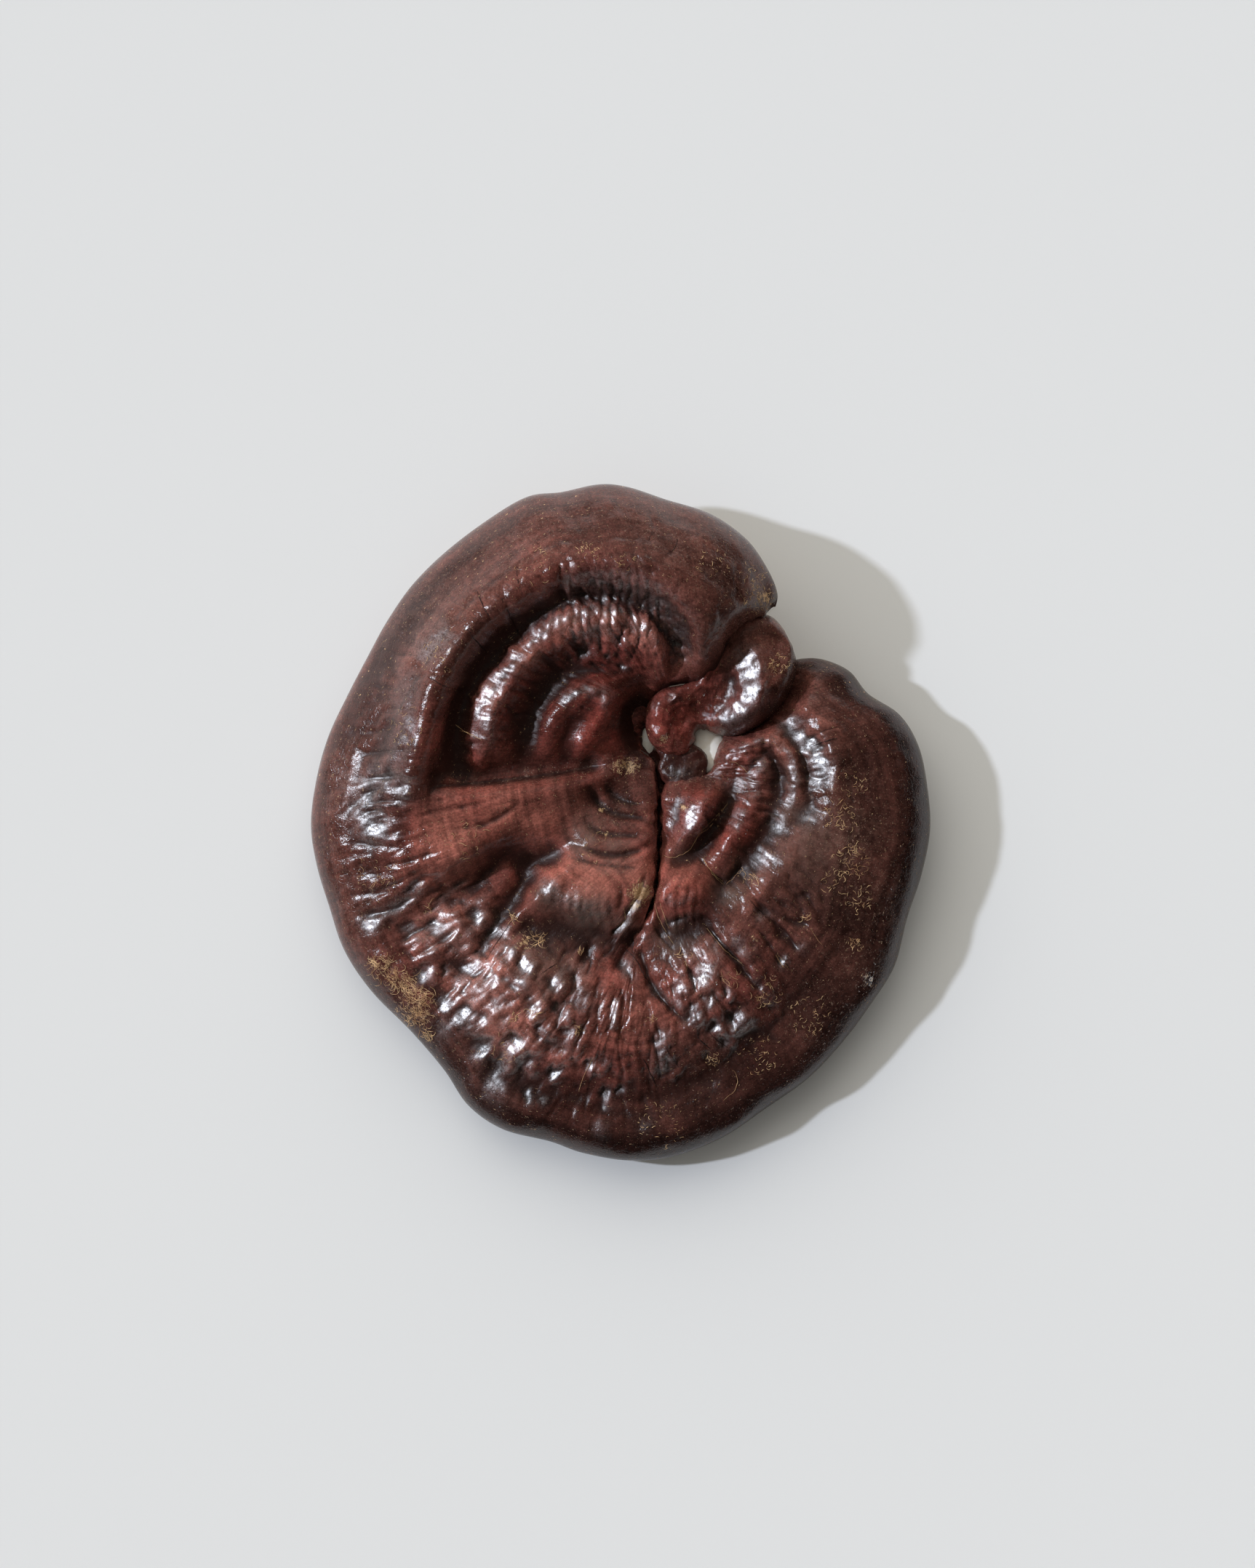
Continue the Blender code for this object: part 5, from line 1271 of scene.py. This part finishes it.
def make_pore_layer(sizes):
    """A thin, closed layer that follows the underside and stays inside the margin."""
    top, under = cap_surfaces()
    form = Form(CAP, top.height, under, *PORE_GRID)
    inset = sizes.pore_inset / MM
    reach = np.maximum(form.length - inset, 0.5)
    part = np.clip(form.distance / form.length, 0, 1)
    distance = inset + reach * part * PORE_REACH
    margin = spline(CAP["margin"], form.station)
    inner = spline(CAP["inner"], form.station)
    share = np.minimum(distance / form.length, PORE_REACH)
    form.place = margin + (inner - margin) * share[:, None]
    middle = keyed(CAP["rim height"], form.station)
    middle = middle + (keyed(CAP["inner height"], form.station) - middle) * share ** 2 * (3 - 2 * share)
    fall = roundness(share * form.length, CAP["under rim"])
    lower = middle - (middle - under.height(form.place)) * fall
    swell = wavy(np.column_stack((form.place, lower)), 14.0, 21) * 0.35
    lens = np.sin(math.pi * np.clip(form.share, 0, 1)) ** 0.4
    body = np.clip(0.4 * (top.height(form.place) - lower), 0.2, 2.2) * lens
    form.height = np.maximum(np.where(form.on_top, lower + body, lower + swell * lens), 0.0)
    form.distance = share * form.length
    piece, row = write_form("pore_surface", form)
    growth = np.column_stack((form.station * 10.0, form.distance, form.height))
    write_attribute(piece, "growth", growth[row])
    finish_piece(piece, pore_layer())


def make_kidney_lobe():
    top = Surface((KIDNEY_TOP,), 1.8)
    under = Surface((KIDNEY_UNDER,), 6.0)
    form = Form(KIDNEY, leaning(top.height), under, *KIDNEY_GRID)
    lobe = smooth_step(22, 27, form.place[:, 0])
    relief = layered(form.points(), KIDNEY_LUMPS) * (1 - 0.7 * lobe)
    form.raise_by(relief * np.where(form.on_top, smooth_step(0, 0.1, form.share), 0))
    piece, row = write_form("kidney_lobe", form)
    rim = lobe * smooth_step(0.86, 0.97, form.share) * 0.9
    red = np.maximum(spots(form.place, REDDENED), 0.6 * (1 - lobe))
    # The kidney lobe's folds get the same painted shade
    keep_growth(piece, row, form, red, rim, sunken(form, *KIDNEY_FOLDS), 0.0 * red)
    finish_piece(piece, lacquer("lacquered lobe", dust=1.0, gloss=1.0))


def add_rings(name, rings):
    """Extrude a disc upwards from ring to ring, as a turned stem is drawn."""
    deselect_all()
    centres = [Vector((x, y, height)) * MM for height, x, y, wide, deep in rings]
    _, _, _, wide, deep = rings[0]
    bpy.ops.mesh.primitive_circle_add(vertices=STEM_SIDES, radius=wide * MM, fill_type="NGON",
                                      location=centres[0])
    piece = bpy.context.object
    piece.name = name
    piece.data.name = name
    bpy.ops.object.mode_set(mode="EDIT")
    bpy.ops.mesh.select_all(action="SELECT")
    bpy.ops.transform.resize(value=(1, deep / wide, 1), center_override=centres[0])
    for number in range(1, len(rings)):
        step = centres[number] - centres[number - 1]
        wider = rings[number][3] / rings[number - 1][3]
        deeper = rings[number][4] / rings[number - 1][4]
        bpy.ops.mesh.extrude_region_move(TRANSFORM_OT_translate={"value": step})
        bpy.ops.transform.resize(value=(wider, deeper, 1), center_override=centres[number])
    bpy.ops.object.mode_set(mode="OBJECT")
    bpy.ops.object.transform_apply(location=True, rotation=True, scale=True)
    face_outwards(piece)
    return piece


def make_stem():
    rings = (("stem", STEM_RINGS), ("neck", NECK_RINGS), ("bud_foot", BUD_FOOT_RINGS))
    stem = join_parts([add_rings(*part) for part in rings], "stem")
    apply_modifier(stem, "REMESH", mode="VOXEL", voxel_size=STEM_VOXEL * MM)
    apply_modifier(stem, "SMOOTH", **STEM_SOFTENING)
    points = mesh_values(stem.data.vertices, "co") / MM
    normals = mesh_values(stem.data.vertex_normals, "vector")
    relief = layered(points, STEM_LUMPS) * smooth_step(0.6, 2.0, points[:, 2])
    points = points + normals * relief[:, None]
    points[:, 2] = np.maximum(points[:, 2], 0.0)
    place_points(stem.data, points)

    plan = points[:, :2]
    none = np.zeros(len(points))
    round_it = np.arctan2(points[:, 1] - STEM_Y, points[:, 0] - STEM_X) * STEM_RADIUS
    cut = 1 - smooth_step(0.1, 0.5, points[:, 2])
    dust = np.maximum(spots(plan, DUSTED), STEM_DUST)
    write_attribute(stem, "growth", np.column_stack((round_it, points[:, 2], sheen(plan))))
    # The hollow share paints shade over the whole stem
    write_attribute(stem, "tint", np.tile(STEM_TINT, (len(points), 1)))
    write_attribute(stem, "wear", np.column_stack((cut, dust, none)))
    bpy.ops.object.shade_smooth()
    finish_piece(stem, lacquer("lacquered stem", dust=1.0, gloss=1.1))


def make_torn_flesh():
    """Pale torn flesh behind the kidney lobe and along the foot of the bud, near-white in the hole as
    painted light for the lit floor seen through it.
    """
    parts = []
    for name, x, y, z, wide, deep, tall in TORN:
        deselect_all()
        bpy.ops.mesh.primitive_uv_sphere_add(segments=FLESH_SEGMENTS, ring_count=FLESH_RINGS, radius=1)
        part = bpy.context.object
        part.name = name
        offset = mesh_values(part.data.vertices, "co") * (wide, deep, tall)
        points = offset + (x, y, z)
        place_points(part.data, points + offset * layered(points, FLESH_LUMPS)[:, None])
        parts.append(part)
    flesh = join_parts(parts, "torn_flesh")
    face_outwards(flesh)
    bpy.ops.object.shade_smooth()
    finish_piece(flesh, strand_material("torn flesh", "flesh", "flesh_shade", 400.0))


def strand_material(name, first, second, scale):
    """Two tones that change over the piece, matt."""
    settings = bpy.context.scene.reishi_colours
    material, nodes, shader = new_material(name)
    spot = nodes.add("ShaderNodeTexCoord").outputs["Object"]
    share = nodes.between(nodes.noise(spot, scale, 3.0, 0.6), 0.36, 0.62)
    colour = nodes.mix(share, (*getattr(settings, first), 1.0), (*getattr(settings, second), 1.0))
    nodes.put(shader.inputs["Base Color"], colour)
    shader.inputs["Roughness"].default_value = 0.6
    return material


class Ground:
    """Finds the top of the finished pieces below a place."""

    def __init__(self, names):
        view = bpy.context.evaluated_depsgraph_get()
        self.trees = [BVHTree.FromObject(bpy.data.objects[name], view) for name in names]

    def point(self, x, y, lift):
        top = None
        for tree in self.trees:
            hit = tree.ray_cast(Vector((x * MM, y * MM, 0.1)), Vector((0, 0, -1)))[0]
            if hit is not None and (top is None or hit.z > top.z):
                top = hit
        if top is None:
            return None
        return (top.x, top.y, top.z + lift * MM, 1.0)


def tuft_lines(draw):
    """Curly lines of the tufts, as rows of places."""
    lines = []
    for x, y, radius, strands, length, heading, spread in TUFTS:
        for _ in range(strands):
            turn = math.radians(heading + draw.uniform(-spread, spread))
            away = radius * math.sqrt(draw.random())
            round_it = draw.uniform(0, 2 * math.pi)
            place = [x + away * math.cos(round_it), y + away * math.sin(round_it)]
            curl = draw.uniform(-STRAND_CURL, STRAND_CURL)
            step = length * draw.uniform(0.5, 1.2) / STRAND_STEPS
            line = []
            for _ in range(STRAND_STEPS + 1):
                line.append(tuple(place))
                place[0] += step * math.cos(turn)
                place[1] += step * math.sin(turn)
                turn += curl + draw.uniform(-STRAND_WANDERING, STRAND_WANDERING)
            lines.append(line)
    return lines


def drawn_lines(table, draw):
    """Given lines with small wanderings."""
    lines = []
    for points in table:
        points = np.array(points, float)
        length = np.linalg.norm(np.diff(points, axis=0), axis=1).sum()
        line = spline(points, np.linspace(0, len(points) - 1, max(5, int(length / HAIR_STEP))))
        wandering = [(draw.gauss(0, HAIR_WANDERING), draw.gauss(0, HAIR_WANDERING)) for _ in line]
        lines.append([tuple(place) for place in line + np.array(wandering)])
    return lines


def lay_strands(name, lines, ground, thickness, lift, draw):
    """Thin closed tubes along the lines, lying on the crust and pointed at both ends."""
    deselect_all()
    bpy.ops.curve.primitive_nurbs_path_add()
    piece = bpy.context.object
    piece.name = name
    curve = piece.data
    curve.splines.clear()
    curve.bevel_depth = thickness * MM
    curve.bevel_resolution = 0
    curve.use_fill_caps = True
    for line in lines:
        width = draw.uniform(*STRAND_WIDTHS)
        arch = draw.uniform(0.0, STRAND_ARCH)
        points = []
        for number, (x, y) in enumerate(line):
            share = math.sin(math.pi * number / (len(line) - 1))
            spot = ground.point(x, y, lift + arch * share)
            if spot is not None:
                points.append((spot, width * (TIP_WIDTH + (1 - TIP_WIDTH) * share)))
        if len(points) < FEWEST_POINTS:
            continue
        strand = curve.splines.new("POLY")
        strand.points.add(len(points) - 1)
        for target, (spot, size) in zip(strand.points, points):
            target.co = spot
            target.radius = size
    bpy.ops.object.convert(target="MESH")
    piece = bpy.context.object
    piece.data.name = name
    bpy.ops.object.mode_set(mode="EDIT")
    bpy.ops.mesh.select_all(action="SELECT")
    bpy.ops.mesh.remove_doubles(threshold=0.000001)
    bpy.ops.object.mode_set(mode="OBJECT")
    face_outwards(piece)
    bpy.ops.object.location_clear()
    bpy.ops.object.shade_smooth()
    return piece


def make_strands():
    draw = random.Random(STRAND_SEED)
    ground = Ground(("cap_crust", "kidney_lobe"))
    lines = tuft_lines(draw) + drawn_lines(HAIRS, draw)
    fibres = lay_strands("fibres", lines, ground, FIBRE_RADIUS, FIBRE_LIFT, draw)
    finish_piece(fibres, strand_material("pale fibres", "fibre", "fibre_dark", 260.0))
    lines = drawn_lines(HAIRLINES, draw)
    cracks = lay_strands("hairline_cracks", lines, ground, HAIRLINE_RADIUS, HAIRLINE_LIFT, draw)
    finish_piece(cracks, strand_material("crack shade", "hollow", "rim", 300.0))


# Stage

def studio_light(stage):
    """Soft light: bright near the horizon on the window side, dim overhead and to the right."""
    world = bpy.data.worlds.new("studio")
    world.use_nodes = True
    nodes = Nodes(world.node_tree)
    background = world.node_tree.nodes["Background"]
    away = nodes.add("ShaderNodeTexCoord").outputs["Generated"]
    side = nodes.add("ShaderNodeVectorMath", {0: away, 1: stage.window_side}, operation="DOT_PRODUCT")
    window = nodes.between(side.outputs["Value"], 0.25, 0.95, 0.0, stage.window_light)
    rest = nodes.between(nodes.split(away)[2], 0.0, 1.0, stage.far_side_light, stage.overhead_light)
    rest = nodes.times(rest, nodes.between(nodes.split(away)[0], 0.0, 0.8, 1.0, 0.35))
    nodes.put(background.inputs["Color"], (*stage.fill_colour, 1))
    mirrored = nodes.add("ShaderNodeLightPath").outputs["Is Glossy Ray"]
    share = nodes.between(mirrored, 0.0, 1.0, 1.0, stage.mirrored_light)
    nodes.put(background.inputs["Strength"], nodes.times(nodes.plus(window, rest), share))
    return world


def make_stage(stage):
    deselect_all()
    bpy.ops.mesh.primitive_plane_add(size=FLOOR_SIZE, location=(0, 0, 0))
    floor = bpy.context.object
    floor.name = "floor"
    material, _, shader = new_material("pale floor")
    shader.inputs["Base Color"].default_value = (*stage.floor_colour, 1)
    shader.inputs["Roughness"].default_value = 0.9
    shader.inputs["Specular IOR Level"].default_value = 0.1
    floor.data.materials.append(material)

    scene = bpy.context.scene
    scene.world = studio_light(stage)
    sun = bpy.data.lights.new("key", "SUN")
    sun.energy = stage.key_strength
    sun.angle = stage.key_size
    sun.color = stage.key_colour
    key = bpy.data.objects.new("key", sun)
    scene.collection.objects.link(key)
    key.rotation_euler = Vector(stage.key_travel).to_track_quat("-Z", "Y").to_euler()

    lens = bpy.data.cameras.new("camera")
    lens.lens = stage.lens
    lens.sensor_width = SENSOR_WIDTH
    lens.clip_start = 0.05
    lens.clip_end = 10.0
    camera = bpy.data.objects.new("camera", lens)
    scene.collection.objects.link(camera)
    camera.location = (stage.aim_x, stage.aim_y, stage.camera_height)
    scene.camera = camera
    scene.view_settings.view_transform = "Standard"


# Settings

def count_property(name, description, default, least):
    return IntProperty(name=name, description=description, default=default, min=least)


def length_property(name, description, default):
    return FloatProperty(name=name, description=description, default=default, unit="LENGTH")


def amount_property(name, description, default):
    return FloatProperty(name=name, description=description, default=default)


def way_property(name, description, default):
    return FloatVectorProperty(name=name, description=description, default=default, subtype="DIRECTION")


def colour_property(name, description, default):
    return FloatVectorProperty(name=name, description=description, default=default, subtype="COLOR",
                               min=0.0, max=1.0)


class ReishiSizes(bpy.types.PropertyGroup):
    """Sizes of the finished surface."""
    crust_rows: count_property("Crust rows", "Rows of points along the cap", 900, 60)
    crust_section: count_property("Crust section", "Points round the cap's section", 110, 24)
    wrinkle_depth: length_property("Wrinkle depth", "Depth of the radial wrinkles", 0.0008)
    dent_depth: length_property("Dent depth", "Depth of the leathery dents", 0.00055)
    ring_depth: length_property("Ring depth", "Height of the growth rings", 0.00022)
    scallop_depth: length_property("Scallop depth", "Unevenness of the margin", 0.0006)
    pore_step: length_property("Pore step", "How far the pore layer stands below the crust", 0.0008)
    pore_inset: length_property("Pore inset", "How far the pore layer stays inside the margin", 0.0052)


class ReishiColours(bpy.types.PropertyGroup):
    """Colours of the finished surface."""
    brown: colour_property("Brown", "Lacquer of the cap", (0.106, 0.038, 0.030))
    red: colour_property("Red", "Lacquer near the hilum and in the folds", (0.190, 0.038, 0.030))
    # Rim is the new lacquer of the margin and partly painted shade away from the light; tawny is partly
    # painted light on the backs that face it
    rim: colour_property("Rim", "Young growth along the margin", (0.014, 0.005, 0.004))
    tawny: colour_property("Tawny", "Lighter lacquer of the broad backs", (0.290, 0.098, 0.074))
    bloom: colour_property("Bloom", "Grey bloom beside the folds", (0.105, 0.070, 0.058))
    # Hollow is painted shade deep in the folds
    hollow: colour_property("Hollow", "Dirt deep in the folds", (0.026, 0.007, 0.005))
    dust: colour_property("Dust", "Pale brown spore dust", (0.26, 0.15, 0.11))
    bare: colour_property("Bare", "Flesh where the crust is worn through", (0.74, 0.50, 0.28))
    bare_dark: colour_property("Bare dark", "Darker strands of the bare flesh", (0.46, 0.25, 0.12))
    fibre: colour_property("Fibre", "Pale gold strands", (0.92, 0.62, 0.34))
    fibre_dark: colour_property("Fibre dark", "Tan strands", (0.50, 0.27, 0.13))
    # Flesh is whitened as painted light, for the lit floor seen through the hole
    flesh: colour_property("Flesh", "Torn flesh", (0.93, 0.91, 0.88))
    flesh_shade: colour_property("Flesh shade", "Darker torn flesh", (0.84, 0.79, 0.72))
    pore_pale: colour_property("Pore pale", "Pale zones of the pore layer", (0.60, 0.47, 0.32))
    pore_tan: colour_property("Pore tan", "Tan zones of the pore layer", (0.44, 0.30, 0.18))
    pore_brown: colour_property("Pore brown", "Stains and pores of the pore layer", (0.20, 0.11, 0.06))


class ReishiStage(bpy.types.PropertyGroup):
    """Floor, light and camera."""
    floor_colour: colour_property("Floor", "Pale floor", (0.79, 0.80, 0.82))
    fill_colour: colour_property("Fill colour", "Light from all round", (1.0, 0.963, 0.870))
    window_side: way_property("Window side", "Way to the brightest soft light", (-0.35, 0.94, 0.0))
    window_light: amount_property("Window light", "Soft light on the window side", 2.6)
    far_side_light: amount_property("Far side light", "Soft light on the far side", 0.2)
    overhead_light: amount_property("Overhead light", "Soft light from overhead", 0.3)
    mirrored_light: amount_property("Mirrored light", "Share of the soft light seen in the gloss", 0.03)
    key_colour: colour_property("Key colour", "Light from the left", (0.83, 0.89, 1.0))
    key_strength: amount_property("Key strength", "Strength of the light from the left", 2.1)
    key_size: FloatProperty(name="Key size", description="Angle that the key light spans", default=0.045,
                            subtype="ANGLE")
    key_travel: way_property("Key direction", "Way that the key light travels", (0.807, -0.14, -0.574))
    lens: amount_property("Lens", "Focal length in millimetres", 113.0)
    camera_height: length_property("Camera height", "Height of the camera above the floor", 1.209)
    aim_x: length_property("Aim X", "Point below the camera, across", 0.00185)
    aim_y: length_property("Aim Y", "Point below the camera, up the view", 0.0098)


# Operators and panel

class OBJECT_OT_reishi_crust(bpy.types.Operator):
    """Add the lacquered crust of the cap"""
    bl_idname = "object.reishi_crust"
    bl_label = "Cap Crust"

    def execute(self, context):
        make_crust(context.scene.reishi_sizes)
        return {"FINISHED"}


class OBJECT_OT_reishi_pores(bpy.types.Operator):
    """Add the pore surface below the cap"""
    bl_idname = "object.reishi_pores"
    bl_label = "Pore Surface"

    def execute(self, context):
        make_pore_layer(context.scene.reishi_sizes)
        return {"FINISHED"}


class OBJECT_OT_reishi_kidney_lobe(bpy.types.Operator):
    """Add the kidney lobe, its arm and its bud"""
    bl_idname = "object.reishi_kidney_lobe"
    bl_label = "Kidney Lobe"

    def execute(self, context):
        make_kidney_lobe()
        return {"FINISHED"}


class OBJECT_OT_reishi_stem(bpy.types.Operator):
    """Add the cut stub of the stem and what grows up from it"""
    bl_idname = "object.reishi_stem"
    bl_label = "Stem"

    def execute(self, context):
        make_stem()
        return {"FINISHED"}


class OBJECT_OT_reishi_flesh(bpy.types.Operator):
    """Add the torn flesh that shows beside the bud and the kidney lobe"""
    bl_idname = "object.reishi_flesh"
    bl_label = "Torn Flesh"

    def execute(self, context):
        make_torn_flesh()
        return {"FINISHED"}


class OBJECT_OT_reishi_strands(bpy.types.Operator):
    """Add the loose fibres, hairs and hairline cracks on the finished crust"""
    bl_idname = "object.reishi_strands"
    bl_label = "Strands"

    def execute(self, context):
        make_strands()
        return {"FINISHED"}


class SCENE_OT_reishi_stage(bpy.types.Operator):
    """Add the floor, the light and the camera"""
    bl_idname = "scene.reishi_stage"
    bl_label = "Stage"

    def execute(self, context):
        make_stage(context.scene.reishi_stage)
        return {"FINISHED"}


PIECES = (
    OBJECT_OT_reishi_crust,
    OBJECT_OT_reishi_pores,
    OBJECT_OT_reishi_kidney_lobe,
    OBJECT_OT_reishi_stem,
    OBJECT_OT_reishi_flesh,
    OBJECT_OT_reishi_strands,
    SCENE_OT_reishi_stage,
)
SETTINGS = (ReishiSizes, ReishiColours, ReishiStage)


class VIEW3D_PT_reishi(bpy.types.Panel):
    """Sidebar panel that lists the pieces"""
    bl_idname = "VIEW3D_PT_reishi"
    bl_label = "Reishi"
    bl_space_type = "VIEW_3D"
    bl_region_type = "UI"
    bl_category = "Reishi"

    def draw(self, context):
        layout = self.layout
        scene = context.scene
        for settings in (scene.reishi_sizes, scene.reishi_colours, scene.reishi_stage):
            column = layout.column(align=True)
            for name in settings.__annotations__:
                column.prop(settings, name)
        for operator in PIECES:
            layout.operator(operator.bl_idname)


def register():
    for kind in (*SETTINGS, *PIECES, VIEW3D_PT_reishi):
        bpy.utils.register_class(kind)
    bpy.types.Scene.reishi_sizes = PointerProperty(type=ReishiSizes)
    bpy.types.Scene.reishi_colours = PointerProperty(type=ReishiColours)
    bpy.types.Scene.reishi_stage = PointerProperty(type=ReishiStage)


def unregister():
    del bpy.types.Scene.reishi_stage
    del bpy.types.Scene.reishi_colours
    del bpy.types.Scene.reishi_sizes
    for kind in reversed((*SETTINGS, *PIECES, VIEW3D_PT_reishi)):
        bpy.utils.unregister_class(kind)


def main():
    register()
    deselect_all()
    bpy.ops.object.reishi_crust()
    bpy.ops.object.reishi_pores()
    bpy.ops.object.reishi_kidney_lobe()
    bpy.ops.object.reishi_stem()
    bpy.ops.object.reishi_flesh()
    bpy.ops.object.reishi_strands()
    bpy.ops.scene.reishi_stage()


if __name__ == "__main__":
    main()
